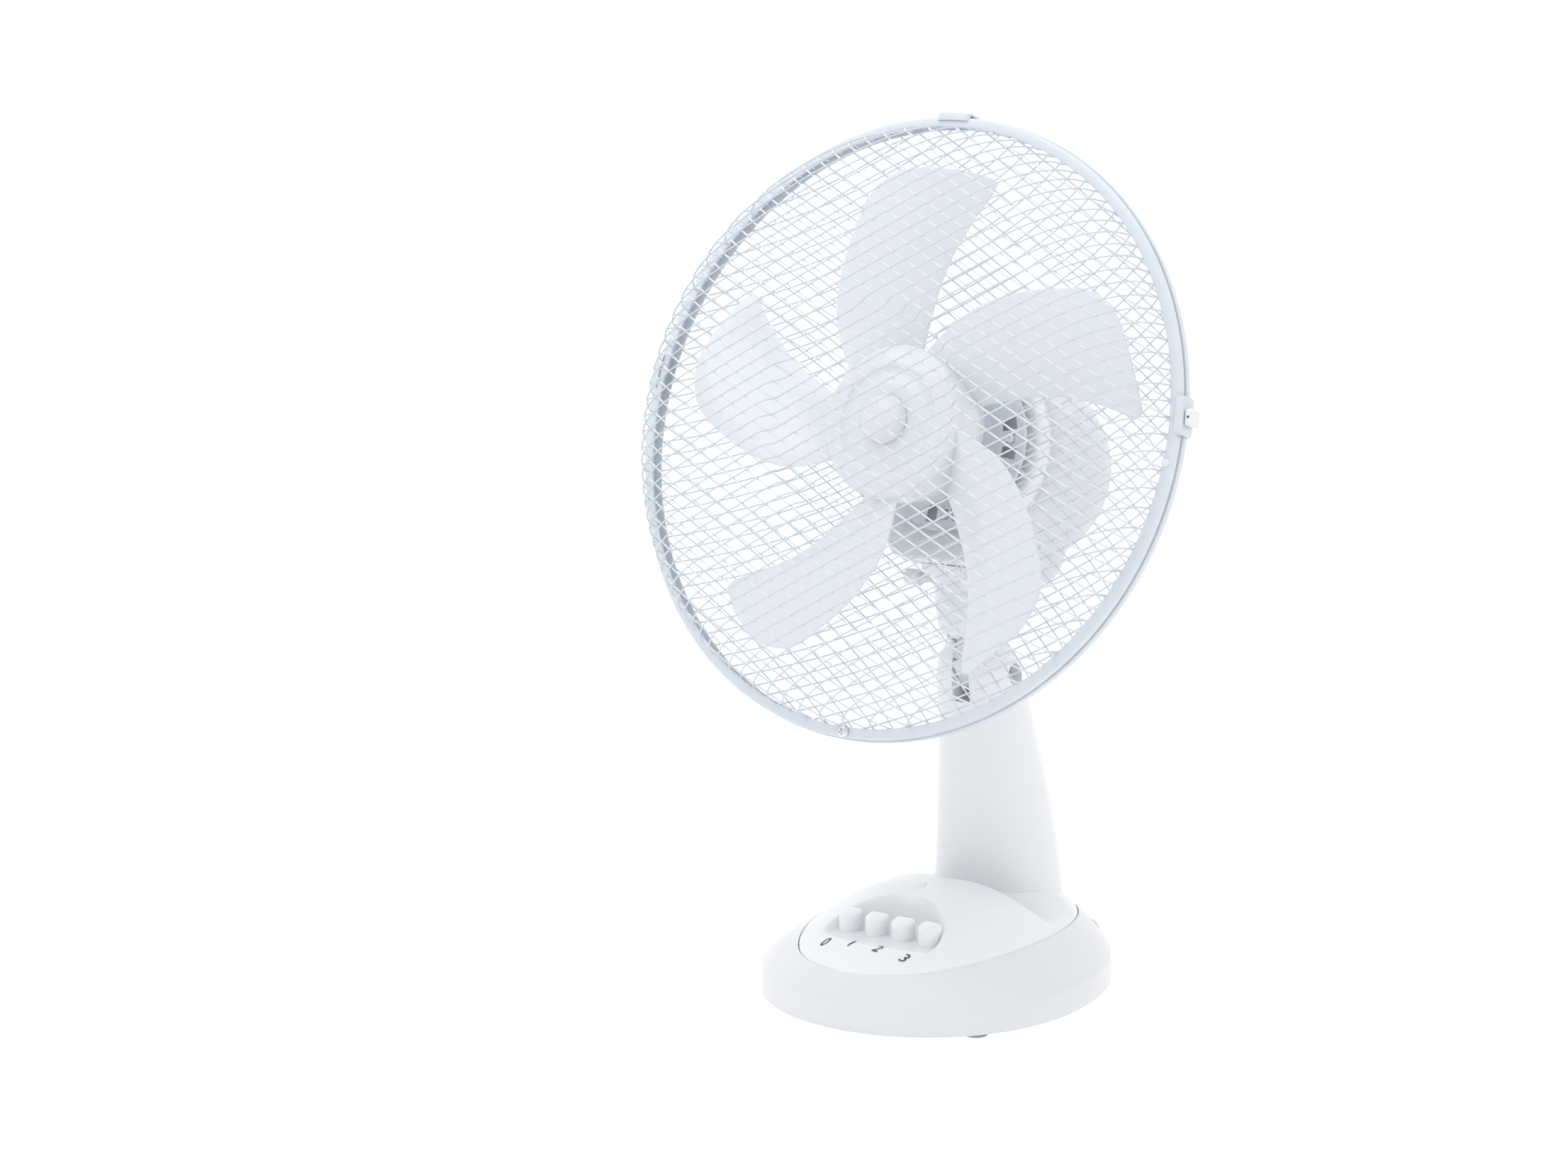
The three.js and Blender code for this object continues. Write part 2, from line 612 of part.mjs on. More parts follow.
// One straight-plan wire bent over the dome, as a low-sided tube.
function domeWire(offset, degrees, front) {
  const half = Math.sqrt(MESH_RADIUS ** 2 - offset ** 2);
  const steps = Math.max(4, Math.round(half / 38));
  const points = [];
  for (let i = 0; i <= steps; i += 1) {
    const along = half * Math.sin((Math.PI / 2) * (-1 + (2 * i) / steps));
    const z = domeHeight(Math.hypot(along, offset), front);
    points.push(new THREE.Vector3(along, offset, z));
  }
  const r = WIRE_HALF;
  const rings = points.map((p) => [
    new THREE.Vector3(p.x, p.y - r, p.z - r / 2), new THREE.Vector3(p.x, p.y, p.z + r),
    new THREE.Vector3(p.x, p.y + r, p.z - r / 2),
  ]);
  return loft(rings).rotate([0, 0, degrees]);
}

function edgeRing(front) {
  const z = front ? 4 : -4;
  return ring(MESH_RADIUS - 3, MESH_RADIUS, z - 1.2, z + 1.2, 40);
}

function buildGuards() {
  [true, false].forEach((front) => {
    const side = front ? 'front' : 'rear';
    add(head, `${side}_rim`, rimSolid(front), coatedSteel);
    const wires = WIRE_ANGLES.map((degrees) => {
      const family = [];
      for (let i = 0; i < WIRES_EACH_WAY; i += 1) {
        const offset = (i - (WIRES_EACH_WAY - 1) / 2) * WIRE_PITCH;
        family.push(domeWire(offset, degrees, front));
      }
      return join(...family);
    });
    const lattice = join(edgeRing(front), ...wires);
    const room = front ? [] : [rod(DISC_RADIUS + 0.6, DISC_Z - 4, DISC_Z + 4, 40)];
    add(head, `${side}_mesh`, cut(lattice, ...room), coatedWire);
  });

  const window = cut(box(13, 25, 10, 0, 0, DISC_Z), box(20, 9.4, 12, 0, 0, DISC_Z));
  const lugHole = rod(3.5, DISC_Z - 5, DISC_Z + 5, 14);
  const openings = LUG_ANGLES.map((degrees) => atLug(join(window, lugHole), degrees));
  const disc = cut(ring(21, DISC_RADIUS, DISC_Z - 1.8, DISC_Z, 40), ...openings);
  add(head, 'rear_disc', disc, coatedSteel);
  add(head, 'motor_nose', ring(9.4, 20.2, -82, -46, 20), whitePlastic);
  add(head, 'guard_nut', ring(21.2, 27, DISC_Z + 0.4, DISC_Z + 9.5, 16), whitePlastic);
}

// ---------------------------------------------------------------- clips on the rim
function onRim(body, degrees) {
  return body.rotate([0, 0, degrees - 90]);
}

function buildClips() {
  const clipTop = RIM_RADIUS + 0.5;
  [['clip_top', 90], ['clip_right', 6], ['clip_left', 174]].forEach(([name, degrees]) => {
    const plate = box(26, 1.4, 15.4, 0, clipTop + 0.7, 0);
    const claws = [-1, 1].map((end) => box(18, 6, 1.2, 0, clipTop - 2, end * 7.5));
    add(head, name, onRim(join(plate, ...claws), degrees), coatedSteel);
  });
  const latch = join(box(9, 5.4, 12, 0, clipTop + 4.6, 0), box(3.4, 3, 12, 5, clipTop + 3.3, 0));
  add(head, 'rim_latch', onRim(latch, 6), whitePlastic);
  const screw = turned([[0, 6.8], [4.4, 6.8], [4.4, 8], [2.6, 9.4], [0, 9.6]], 16);
  add(head, 'guard_screw', onRim(screw.translate([0, RIM_RADIUS - 5, 0]), 270), zincSteel);
}

// ---------------------------------------------------------------- rotor
function bladeBody() {
  const rings = BLADE_SECTIONS.map(([radius, trail, lead]) => {
    const twist = 15 - 4 * ((radius - 50) / 131);
    const upper = [];
    const lower = [];
    const steps = 3;
    for (let i = 0; i <= steps; i += 1) {
      const t = i / steps;
      const angle = THREE.MathUtils.degToRad(trail + (lead - trail) * t);
      const camber = 5 * Math.sin(Math.PI * t);
      const z = twist * (1 - 2 * t) + camber;
      const at = (dz) => new THREE.Vector3(radius * Math.cos(angle), radius * Math.sin(angle),
        z + dz);
      upper.push(at(BLADE_THICKNESS / 2));
      lower.push(at(-BLADE_THICKNESS / 2));
    }
    return [...upper, ...lower.reverse()];
  });
  return loft(rings, true);
}

function buildRotor() {
  const cup = turned([[4.3, -20], [10, -20], [10, 14], [HUB_RADIUS - WALL, 14],
    [HUB_RADIUS - WALL, -18], [HUB_RADIUS, -18], [HUB_RADIUS, 15], [HUB_RADIUS - 4, 19.5],
    [38, 22], [36, 20.6], [30, 21.2], [27, 23], [4.3, 23], [4.3, -20]], 32);
  const blade = bladeBody();
  const keepOut = rod(HUB_RADIUS - WALL / 2, -40, 40, 32);
  const blades = [];
  for (let i = 0; i < BLADE_COUNT; i += 1) {
    blades.push(cut(blade, keepOut).rotate([0, 0, FIRST_BLADE_DEG + (360 / BLADE_COUNT) * i]));
  }
  add(head, 'fan_blade', join(cup, ...blades), bladePlastic);
  const spinner = turned([[0, 27.4], [SHAFT_RADIUS + 0.3, 27.4], [SHAFT_RADIUS + 0.3, 23.4],
    [17, 23.4], [17, 29], [13, 33], [0, 34.5]], 28);
  add(head, 'spinner', spinner, whitePlastic);
}

buildBase();
buildCover();
buildKeys();
buildPillar();
buildNeck();
buildLockKnob();
buildMotor();
buildGearbox();
buildLink();
buildHousing();
buildGuards();
buildClips();
buildRotor();

export default fan;
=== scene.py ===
"""Looks of the desk fan: smooth pieces, materials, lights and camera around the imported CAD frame.

Pieces are drawn in millimetres in one of two local frames and then placed in the row frame:
BASE_FRAME stands on the table under the middle of the base, with the fan's front towards -y, and
HEAD_FRAME sits in the middle of the blades, with z along the rotor's axis, towards the front.
"""

import math

import bmesh
import bpy
import numpy as np
from mathutils import Matrix, Vector
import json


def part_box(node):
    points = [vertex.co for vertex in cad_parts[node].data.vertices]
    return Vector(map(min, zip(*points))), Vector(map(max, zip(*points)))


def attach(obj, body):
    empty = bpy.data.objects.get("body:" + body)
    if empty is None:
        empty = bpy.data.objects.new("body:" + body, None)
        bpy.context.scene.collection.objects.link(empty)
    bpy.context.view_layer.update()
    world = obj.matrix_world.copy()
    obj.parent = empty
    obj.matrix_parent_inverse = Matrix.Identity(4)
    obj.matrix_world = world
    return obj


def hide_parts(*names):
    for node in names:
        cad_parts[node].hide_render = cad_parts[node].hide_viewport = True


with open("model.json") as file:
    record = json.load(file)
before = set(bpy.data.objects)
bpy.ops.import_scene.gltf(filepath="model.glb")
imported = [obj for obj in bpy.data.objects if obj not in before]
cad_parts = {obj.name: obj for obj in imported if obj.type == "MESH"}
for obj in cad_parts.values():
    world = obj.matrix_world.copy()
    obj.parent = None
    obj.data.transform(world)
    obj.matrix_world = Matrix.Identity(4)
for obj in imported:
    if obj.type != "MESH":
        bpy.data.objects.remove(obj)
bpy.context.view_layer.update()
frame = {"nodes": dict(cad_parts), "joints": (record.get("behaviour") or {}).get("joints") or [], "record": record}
NODES = frame["nodes"]
JOINTS = {joint["name"]: joint for joint in frame["joints"]}
MM = 0.001


# ---------------------------------------------------------------- local frames
def joint_point(name):
    return Vector(JOINTS[name]["pos_m"])


def joint_axis(name):
    return Vector(JOINTS[name]["axis"]).normalized()


def local_frame(origin, x_axis, y_axis, z_axis):
    """Matrix from millimetres in a local frame to metres in the row frame."""
    turn = Matrix((x_axis, y_axis, z_axis)).transposed().to_4x4()
    return Matrix.Translation(origin) @ turn @ Matrix.Scale(MM, 4)


X_AXIS, Y_AXIS, Z_AXIS = Vector((1, 0, 0)), Vector((0, 1, 0)), Vector((0, 0, 1))
TILT_BEHIND_MIDDLE = 59.5 * MM
BASE_ORIGIN = Vector((0, joint_point("head_tilt").y - TILT_BEHIND_MIDDLE, 0))
BASE_FRAME = local_frame(BASE_ORIGIN, X_AXIS, Y_AXIS, Z_AXIS)
HEAD_FRAME = local_frame(joint_point("rotor_spin"), X_AXIS, joint_axis("head_swing"),
                         joint_axis("rotor_spin"))


def local_box(node, local):
    """Lowest and highest corner of a CAD node in a local frame, in millimetres."""
    back = local.inverted()
    points = np.array([back @ vertex.co for vertex in NODES[node].data.vertices])
    return points.min(axis=0), points.max(axis=0)


def in_base(point):
    return BASE_FRAME.inverted() @ Vector(point)


def in_head(point):
    return HEAD_FRAME.inverted() @ Vector(point)


# ---------------------------------------------------------------- mesh building
def shape(vertices, faces):
    return [tuple(map(float, vertex)) for vertex in vertices], [tuple(face) for face in faces]


def joined(*shapes):
    """One shape from several."""
    vertices, faces = [], []
    for more_vertices, more_faces in shapes:
        start = len(vertices)
        vertices.extend(more_vertices)
        faces.extend(tuple(index + start for index in face) for face in more_faces)
    return vertices, faces


def loft(rings, closed=True, first_cap=True, last_cap=True):
    """A surface through rings of points with the same count, with flat caps at its ends."""
    count = len(rings[0])
    vertices = [point for ring in rings for point in ring]
    faces = []
    span = count if closed else count - 1
    for row in range(len(rings) - 1):
        for i in range(span):
            j = (i + 1) % count
            low, high = row * count, (row + 1) * count
            faces.append((low + i, low + j, high + j, high + i))
    if first_cap:
        faces.append(tuple(reversed(range(count))))
    if last_cap:
        faces.append(tuple(range((len(rings) - 1) * count, len(rings) * count)))
    return shape(vertices, faces)


def sheet(rows):
    """An open surface through rows of points."""
    return loft(rows, closed=False, first_cap=False, last_cap=False)


def turns(count):
    """Evenly spaced angles around a circle."""
    return [2 * math.pi * i / count for i in range(count)]


def circle(radius, count, z=0.0, centre=(0.0, 0.0)):
    return [(centre[0] + radius * math.cos(a), centre[1] + radius * math.sin(a), z)
            for a in turns(count)]


def lathe(profile, count=96, closed_profile=False):
    """A surface turned about the local z axis from (radius, z) points."""
    rings = [circle(max(radius, 0.02), count, z) for radius, z in profile]
    if closed_profile:
        rings.append(rings[0])
    return loft(rings, first_cap=not closed_profile, last_cap=not closed_profile)


def rounded(corners, radius, steps=5):
    """Closed outline whose corners are arcs; radius is one number, or one for each corner."""
    radii = radius if isinstance(radius, (list, tuple)) else [radius] * len(corners)
    points = []
    count = len(corners)
    for i, corner in enumerate(corners):
        here = Vector(corner)
        before = Vector(corners[i - 1]) - here
        after = Vector(corners[(i + 1) % count]) - here
        reach = min(radii[i], before.length * 0.49, after.length * 0.49)
        start = here + before.normalized() * reach
        end = here + after.normalized() * reach
        for step in range(steps + 1):
            t = step / steps
            points.append(tuple(start * (1 - t) ** 2 + here * (2 * t * (1 - t)) + end * t ** 2))
    return points


def superellipse(half_x, half_y, power, count, z=0.0, centre_y_mm=0.0):
    """An oval ring; a power over 2 makes it squarer."""
    ring = []
    for angle in turns(count):
        c, s = math.cos(angle), math.sin(angle)
        reach = (abs(c) ** power + abs(s) ** power) ** (-1 / power)
        ring.append((half_x * reach * c, centre_y_mm + half_y * reach * s, z))
    return ring


def tube(points, radius, sides=6):
    """A round wire along a path that never runs parallel to the local z axis."""
    points = np.array(points, float)
    along = np.gradient(points, axis=0)
    along /= np.linalg.norm(along, axis=1)[:, None]
    across = np.cross(along, (0.0, 0.0, 1.0))
    across /= np.linalg.norm(across, axis=1)[:, None]
    up = np.cross(across, along)
    rings = []
    for point, side, top in zip(points, across, up):
        rings.append([tuple(point + radius * (math.cos(a) * side + math.sin(a) * top))
                      for a in turns(sides)])
    return loft(rings)


def moved(part, offset=(0, 0, 0), turn=0.0, axis="Z"):
    """A shape turned by some degrees about a local axis and then shifted."""
    matrix = Matrix.Translation(offset) @ Matrix.Rotation(math.radians(turn), 4, axis)
    vertices, faces = part
    return [tuple(matrix @ Vector(vertex)) for vertex in vertices], faces


def soft_box(low, high, radius, segments=3):
    """A box with rounded edges between two corners."""
    mesh = bmesh.new()
    bmesh.ops.create_cube(mesh, size=1.0)
    size = [high[i] - low[i] for i in range(3)]
    middle = [(high[i] + low[i]) / 2 for i in range(3)]
    for vertex in mesh.verts:
        vertex.co = Vector([middle[i] + vertex.co[i] * size[i] for i in range(3)])
    bmesh.ops.bevel(mesh, geom=list(mesh.edges), offset=radius, segments=segments, profile=0.5,
                    affect="EDGES")
    mesh.verts.index_update()
    part = shape([v.co for v in mesh.verts], [[v.index for v in f.verts] for f in mesh.faces])
    mesh.free()
    return part


def scene_object(name, data):
    """A new object of the scene."""
    made = bpy.data.objects.new(name, data)
    bpy.context.scene.collection.objects.link(made)
    return made


def smooth_mesh(mesh, sharp):
    """Smooth shading that stays crisp over edges sharper than some degrees."""
    mesh.shade_smooth()
    mesh.set_sharp_from_angle(angle=math.radians(sharp))


def mesh_object(name, part, local, sharp=35):
    """A shaded object of a shape that is given in a local frame."""
    mesh = bpy.data.meshes.new(name)
    mesh.from_pydata(part[0], [], part[1])
    work = bmesh.new()
    work.from_mesh(mesh)
    bmesh.ops.recalc_face_normals(work, faces=work.faces)
    work.to_mesh(mesh)
    work.free()
    mesh.transform(local)
    smooth_mesh(mesh, sharp)
    return scene_object(name, mesh)


def bake_modifiers(piece):
    """Applies a piece's modifiers to its mesh."""
    graph = bpy.context.evaluated_depsgraph_get()
    mesh = bpy.data.meshes.new_from_object(piece.evaluated_get(graph))
    piece.modifiers.clear()
    piece.data = mesh


def cut_away(piece, part, local):
    """Cuts a shape out of a piece."""
    cutter = mesh_object(piece.name + "_cutter", part, local)
    tool = piece.modifiers.new("cut", "BOOLEAN")
    tool.operation = "DIFFERENCE"
    tool.solver = "EXACT"
    tool.object = cutter
    bake_modifiers(piece)
    bpy.data.objects.remove(cutter)


def thicken(piece, thickness_mm, offset=-1.0):
    tool = piece.modifiers.new("thickness", "SOLIDIFY")
    tool.thickness = thickness_mm * MM
    tool.offset = offset
    bake_modifiers(piece)


def soften(piece, width_mm, segments=2, limit=40):
    """Rounds every edge sharper than a limit, so that it catches the light."""
    tool = piece.modifiers.new("soft_edges", "BEVEL")
    tool.width = width_mm * MM
    tool.segments = segments
    tool.limit_method = "ANGLE"
    tool.angle_limit = math.radians(limit)
    bake_modifiers(piece)


def finish_piece(piece, material, body, slot, *replaced):
    """Gives a piece its material and the body it rides on, and hides the CAD nodes it replaces. The slot is not
    used.
    """
    piece.data.materials.clear()
    piece.data.materials.append(material)
    for polygon in piece.data.polygons:
        polygon.material_index = 0
    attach(piece, body)
    if replaced:
        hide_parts(*replaced)
    return piece


def add(name, part, local, material, body, slot, *replaced, sharp=35):
    piece = mesh_object(name, part, local, sharp)
    return finish_piece(piece, material, body, slot, *replaced)


# ---------------------------------------------------------------- materials
class Nodes:
    """Adds shader nodes and links to one material."""

    def __init__(self, material):
        self.tree = material.node_tree

    def new(self, kind, **inputs):
        node = self.tree.nodes.new(kind)
        for name, value in inputs.items():
            node.inputs[name.replace("_", " ")].default_value = value
        return node

    def link(self, source, target):
        self.tree.links.new(source, target)


def ramp_between(nodes, source, low, high):
    """Maps a noise's usual range to two numbers."""
    spread = nodes.new("ShaderNodeMapRange", From_Min=0.3, From_Max=0.7, To_Min=low, To_Max=high)
    nodes.link(source, spread.inputs["Value"])
    return spread.outputs["Result"]


def surface_material(name, colour, shade, roughness, mottling=40.0, grain=900.0, grain_depth=0.03,
                     ripple=25.0, ripple_depth=0.05, **shader_inputs):
    """A moulded, coated or bare surface: colour drifts between two tones, gloss varies with a finer
    noise, and the bump adds fine grain and a slow ripple. Scales are per metre."""
    material = bpy.data.materials.new(name)
    material.use_nodes = True
    nodes = Nodes(material)
    colour_a, colour_b, colour_result = 6, 7, 2
    shader = nodes.tree.nodes["Principled BSDF"]
    for socket, value in shader_inputs.items():
        shader.inputs[socket.replace("_", " ")].default_value = value
    place = nodes.new("ShaderNodeTexCoord").outputs["Object"]

    tone = nodes.new("ShaderNodeTexNoise", Scale=mottling, Detail=4.0, Roughness=0.6)
    nodes.link(place, tone.inputs["Vector"])
    mix = nodes.new("ShaderNodeMix")
    mix.data_type = "RGBA"
    mix.inputs[colour_a].default_value = (*colour, 1.0)
    mix.inputs[colour_b].default_value = (*shade, 1.0)
    nodes.link(ramp_between(nodes, tone.outputs["Fac"], 0.0, 1.0), mix.inputs["Factor"])
    nodes.link(mix.outputs[colour_result], shader.inputs["Base Color"])

    gloss = nodes.new("ShaderNodeTexNoise", Scale=mottling * 3.0, Detail=3.0, Roughness=0.5)
    nodes.link(place, gloss.inputs["Vector"])
    low, high = roughness
    nodes.link(ramp_between(nodes, gloss.outputs["Fac"], low, high), shader.inputs["Roughness"])

    fine = nodes.new("ShaderNodeTexNoise", Scale=grain, Detail=2.0, Roughness=0.5)
    nodes.link(place, fine.inputs["Vector"])
    slow = nodes.new("ShaderNodeTexNoise", Scale=ripple, Detail=1.0, Roughness=0.5)
    nodes.link(place, slow.inputs["Vector"])
    slow_bump = nodes.new("ShaderNodeBump", Strength=ripple_depth, Distance=0.002)
    nodes.link(slow.outputs["Fac"], slow_bump.inputs["Height"])
    fine_bump = nodes.new("ShaderNodeBump", Strength=grain_depth, Distance=0.0002)
    nodes.link(fine.outputs["Fac"], fine_bump.inputs["Height"])
    nodes.link(slow_bump.outputs["Normal"], fine_bump.inputs["Normal"])
    nodes.link(fine_bump.outputs["Normal"], shader.inputs["Normal"])
    return material


SATIN = {"mottling": 14.0, "grain": 1400.0, "grain_depth": 0.05, "ripple": 9.0,
         "ripple_depth": 0.02, "Coat_Weight": 0.12, "Coat_Roughness": 0.14}
WHITE = surface_material("white_abs", (0.775, 0.788, 0.808), (0.765, 0.779, 0.80), (0.27, 0.33),
                         **SATIN)
KEY_WHITE = surface_material("key_abs", (0.79, 0.80, 0.82), (0.775, 0.788, 0.81), (0.22, 0.28),
                             mottling=60.0, grain=1400.0, ripple_depth=0.02, Coat_Weight=0.3,
                             Coat_Roughness=0.1)
# A darker copy of the white ABS for the base shell: painted shade on its skirt and slope.
SHADED_SKIRT_WHITE = surface_material("shaded_skirt_abs", (0.70, 0.712, 0.73), (0.69, 0.703, 0.722), (0.27, 0.33),
                               **SATIN)
# A darker copy of the white ABS for the rear housing: painted shade, as the rear of the head sits in shade.
SHADED_HOUSING_WHITE = surface_material("shaded_housing_abs", (0.63, 0.65, 0.68), (0.62, 0.641, 0.672),
                                 (0.28, 0.34), mottling=14.0, grain=1400.0, grain_depth=0.05,
                                 ripple_depth=0.02)
BLADE = surface_material("blade_plastic", (0.765, 0.785, 0.815), (0.753, 0.775, 0.807), (0.16, 0.22),
                         mottling=16.0, grain=700.0, ripple=8.0, ripple_depth=0.03,
                         Coat_Weight=0.4, Coat_Roughness=0.08)
WIRE = surface_material("coated_wire", (0.62, 0.67, 0.715), (0.56, 0.62, 0.67), (0.3, 0.42),
                        mottling=60.0, grain=1600.0, grain_depth=0.15)
REAR_WIRE = surface_material("coated_rear_wire", (0.74, 0.775, 0.815), (0.70, 0.74, 0.785),
                             (0.32, 0.45), mottling=60.0, grain=1600.0, grain_depth=0.15)
STEEL = surface_material("coated_steel", (0.65, 0.70, 0.75), (0.615, 0.67, 0.725), (0.28, 0.38),
                         mottling=30.0, grain=1500.0, grain_depth=0.15, ripple_depth=0.02,
                         Coat_Weight=0.25, Coat_Roughness=0.15)
ZINC = surface_material("zinc_plated_steel", (0.80, 0.81, 0.82), (0.70, 0.715, 0.735), (0.25, 0.42),
                        mottling=180.0, grain=2500.0, grain_depth=0.2, Metallic=1.0)
ALLOY = surface_material("cast_alloy", (0.45, 0.46, 0.47), (0.36, 0.37, 0.39), (0.45, 0.6),
                         mottling=90.0, grain=900.0, grain_depth=0.5, Metallic=0.9)
LAMINATIONS = surface_material("steel_laminations", (0.20, 0.20, 0.22), (0.13, 0.13, 0.15),
                               (0.4, 0.55), mottling=120.0, grain=2000.0, grain_depth=0.4,
                               Metallic=0.8)
COPPER = surface_material("enamelled_copper", (0.48, 0.20, 0.09), (0.36, 0.13, 0.06), (0.25, 0.4),
                          mottling=300.0, grain=1800.0, grain_depth=0.6, Metallic=0.9)
BRONZE = surface_material("sintered_bronze", (0.44, 0.30, 0.15), (0.35, 0.23, 0.11), (0.35, 0.5),
                          mottling=200.0, grain=2600.0, grain_depth=0.4, Metallic=0.9)
RUBBER = surface_material("grey_rubber", (0.34, 0.34, 0.33), (0.28, 0.28, 0.275), (0.6, 0.8),
                          mottling=80.0, grain=1500.0, grain_depth=0.35)
PALE_RUBBER = surface_material("pale_rubber", (0.78, 0.79, 0.80), (0.75, 0.76, 0.775), (0.5, 0.65),
                               mottling=80.0, grain=1500.0, grain_depth=0.2)
NYLON = surface_material("ivory_nylon", (0.70, 0.67, 0.56), (0.64, 0.60, 0.50), (0.35, 0.5),
                         grain=1200.0, grain_depth=0.1)
DARK_GAP = surface_material("shadow_gap", (0.075, 0.075, 0.055), (0.05, 0.05, 0.04), (0.6, 0.8))
INK = surface_material("printed_ink", (0.035, 0.035, 0.04), (0.05, 0.05, 0.055), (0.4, 0.55),
                       mottling=400.0)

SLOT_MATERIALS = {
    "white_plastic": WHITE, "blade_plastic": BLADE, "coated_wire": WIRE, "coated_steel": STEEL,
    "zinc_steel": ZINC, "cast_alloy": ALLOY, "laminations": LAMINATIONS, "copper": COPPER,
    "bronze": BRONZE, "grey_rubber": RUBBER, "nylon": NYLON,
}
NODE_MATERIALS = {"cord_grommet": PALE_RUBBER}


def paint_cad_nodes():
    """Gives every CAD node the finish of its slot, for those that stay visible."""
    for subpart in frame["record"]["subparts"]:
        mesh = NODES[subpart["node"]].data
        mesh.materials.clear()
        finish = NODE_MATERIALS.get(subpart["node"], SLOT_MATERIALS[subpart["material_slot"]])
        mesh.materials.append(finish)
        smooth_mesh(mesh, 30)


# ---------------------------------------------------------------- base
SHELL_LOW, SHELL_HIGH = local_box("base_shell", BASE_FRAME)
BASE_HALF_WIDTH = SHELL_HIGH[0]
BASE_FRONT_DEPTH = -SHELL_LOW[1]
REAR_TRIM = 5.0  # the visible skirt ends this much before the CAD shell's rear
BASE_REAR_DEPTH = SHELL_HIGH[1] - REAR_TRIM
SKIRT_BOTTOM = SHELL_LOW[2]
SKIRT_TOP = 22.5
BASE_POWER = 2.05
WALL = 2.4
COVER_HALF_WIDTH = 86.0
COVER_HALF_DEPTH = 125.0
COVER_Y = 10.0
COVER_CLEARANCE = 0.5
SEAM_LOW, SEAM_RISE = 42.0, 5.0
SEAM_TOP_Y, SEAM_HALF_LENGTH = 20.0, 110.0
BASE_COUNT = 256  # points around the base and the cover
CROWN = (0.0, -8.0, 80.0)
SHELF_HEIGHT = 52.0
PLATFORM = (0.0, 84.0, 74.0, 42.0, 60.0)  # middle x and y, half width, half depth, height
PILLAR_FOOT = (0.0, 86.0, 50.0, 34.0)  # middle x and y, half width, half depth
TRAY_Y = -69.5
TRAY_FLOOR = 50.0
TRAY_HALF_WIDTH = 51.0
TRAY_DEPTH = 42.0


def smoothstep(value, low, high):
    """Rises softly from 0 at low to 1 at high."""
    t = np.clip((value - low) / (high - low), 0.0, 1.0)
    return t * t * (3 - 2 * t)


def soft_min(a, b, width):
    """The smaller of two numbers, with a round change over a width."""
    blend = np.clip(0.5 + 0.5 * (b - a) / width, 0.0, 1.0)
    return b * (1 - blend) + a * blend - width * blend * (1 - blend)


def soft_max(a, b, width):
    return -soft_min(-a, -b, width)


def seam_height(y):
    """Height of the seam between cover and base, a little higher at the sides."""
    return SEAM_LOW + SEAM_RISE * np.clip(1 - ((y - SEAM_TOP_Y) / SEAM_HALF_LENGTH) ** 2, 0.0, 1.0)


def seam_share(x, y):
    """How far a point is from the cover's middle, 1 at its seam."""
    return np.hypot(x / COVER_HALF_WIDTH, (y - COVER_Y) / COVER_HALF_DEPTH)


def dome_share(x, y):
    """How far a point is from the dome's crown towards the seam, 1 at the seam."""
    away_x, away_y = x - CROWN[0], y - CROWN[1]
    a = (away_x / COVER_HALF_WIDTH) ** 2 + (away_y / COVER_HALF_DEPTH) ** 2
    gap = (CROWN[1] - COVER_Y) / COVER_HALF_DEPTH
    b = 2 * gap * away_y / COVER_HALF_DEPTH
    c = gap ** 2 - 1
    reach = (-b + np.sqrt(b * b - 4 * a * c)) / np.maximum(2 * a, 1e-6)
    return 1 / np.maximum(reach, 1e-6)


def cover_height(x, y):
    """Height of the control cover: a dome with a key tray, and a low shelf behind it with a
    platform for the pillar."""
    x, y = np.asarray(x, float), np.asarray(y, float)
    seam = seam_height(y)
    share = np.sqrt(dome_share(x, y) ** 2 + 0.09 ** 2)
    facing = np.clip((CROWN[1] - y) / np.maximum(np.hypot(x, y - CROWN[1]), 1e-6), 0.0, 1.0)
    fullness = 2.15 - 1.05 * facing ** 1.5
    dome = seam + (CROWN[2] - seam) * (1 - share ** fullness)

    tray_share = np.hypot(x / TRAY_HALF_WIDTH, np.maximum(y - TRAY_Y, 0.0) / TRAY_DEPTH)
    flare = 1 + 0.008 * np.maximum(TRAY_Y - y, 0.0)
    tray_share = np.where(y < TRAY_Y, np.abs(x) / (TRAY_HALF_WIDTH * flare), tray_share)
    wall = smoothstep(tray_share, 0.84, 1.1)
    front_rise = 0.2 * np.maximum(TRAY_Y + 4.0 - y, 0.0)
    tray = TRAY_FLOOR + front_rise + 34.0 * wall + 60.0 * np.maximum(tray_share - 1.0, 0.0)
    dome = soft_min(dome, tray, 3.0)

    crest_y = 12.0 + 16.0 * np.tanh(np.abs(x) / 38.0)
    fall = smoothstep(y - crest_y, -2.0, 18.0)
    edge = np.clip(seam_share(x, y), 0.0, 1.0)
    shelf = seam + (SHELF_HEIGHT - seam) * (1 - edge ** 4)
    rear = soft_min(dome, dome * (1 - fall) + shelf * fall, 2.0)

    middle_x, middle_y, half_x, half_y, top = PLATFORM
    spread = np.hypot((x - middle_x) / half_x, (y - middle_y) / half_y)
    lump = shelf + (top - shelf) * (1 - smoothstep(spread, 0.5, 1.1))
    lump = np.minimum(lump, seam + (top - seam) * (1 - edge ** 7) * 1.05)
    rear = soft_max(rear, lump, 3.0)

    foot_x, foot_y, foot_half_x, foot_half_y = PILLAR_FOOT
    beyond = np.hypot((x - foot_x) / foot_half_x, (y - foot_y) / foot_half_y) - 1
    fillet = 5.0 * np.exp(-np.maximum(beyond, 0.0) * foot_half_y / 4.0) * (1 - edge ** 6)
    return np.maximum(rear + fillet * smoothstep(y, 20.0, 45.0), seam)


def cover_ring(share):
    """Points at a share of the way from the cover's middle to its seam."""
    return [(share * COVER_HALF_WIDTH * math.cos(angle),
             COVER_Y + share * COVER_HALF_DEPTH * math.sin(angle)) for angle in turns(BASE_COUNT)]


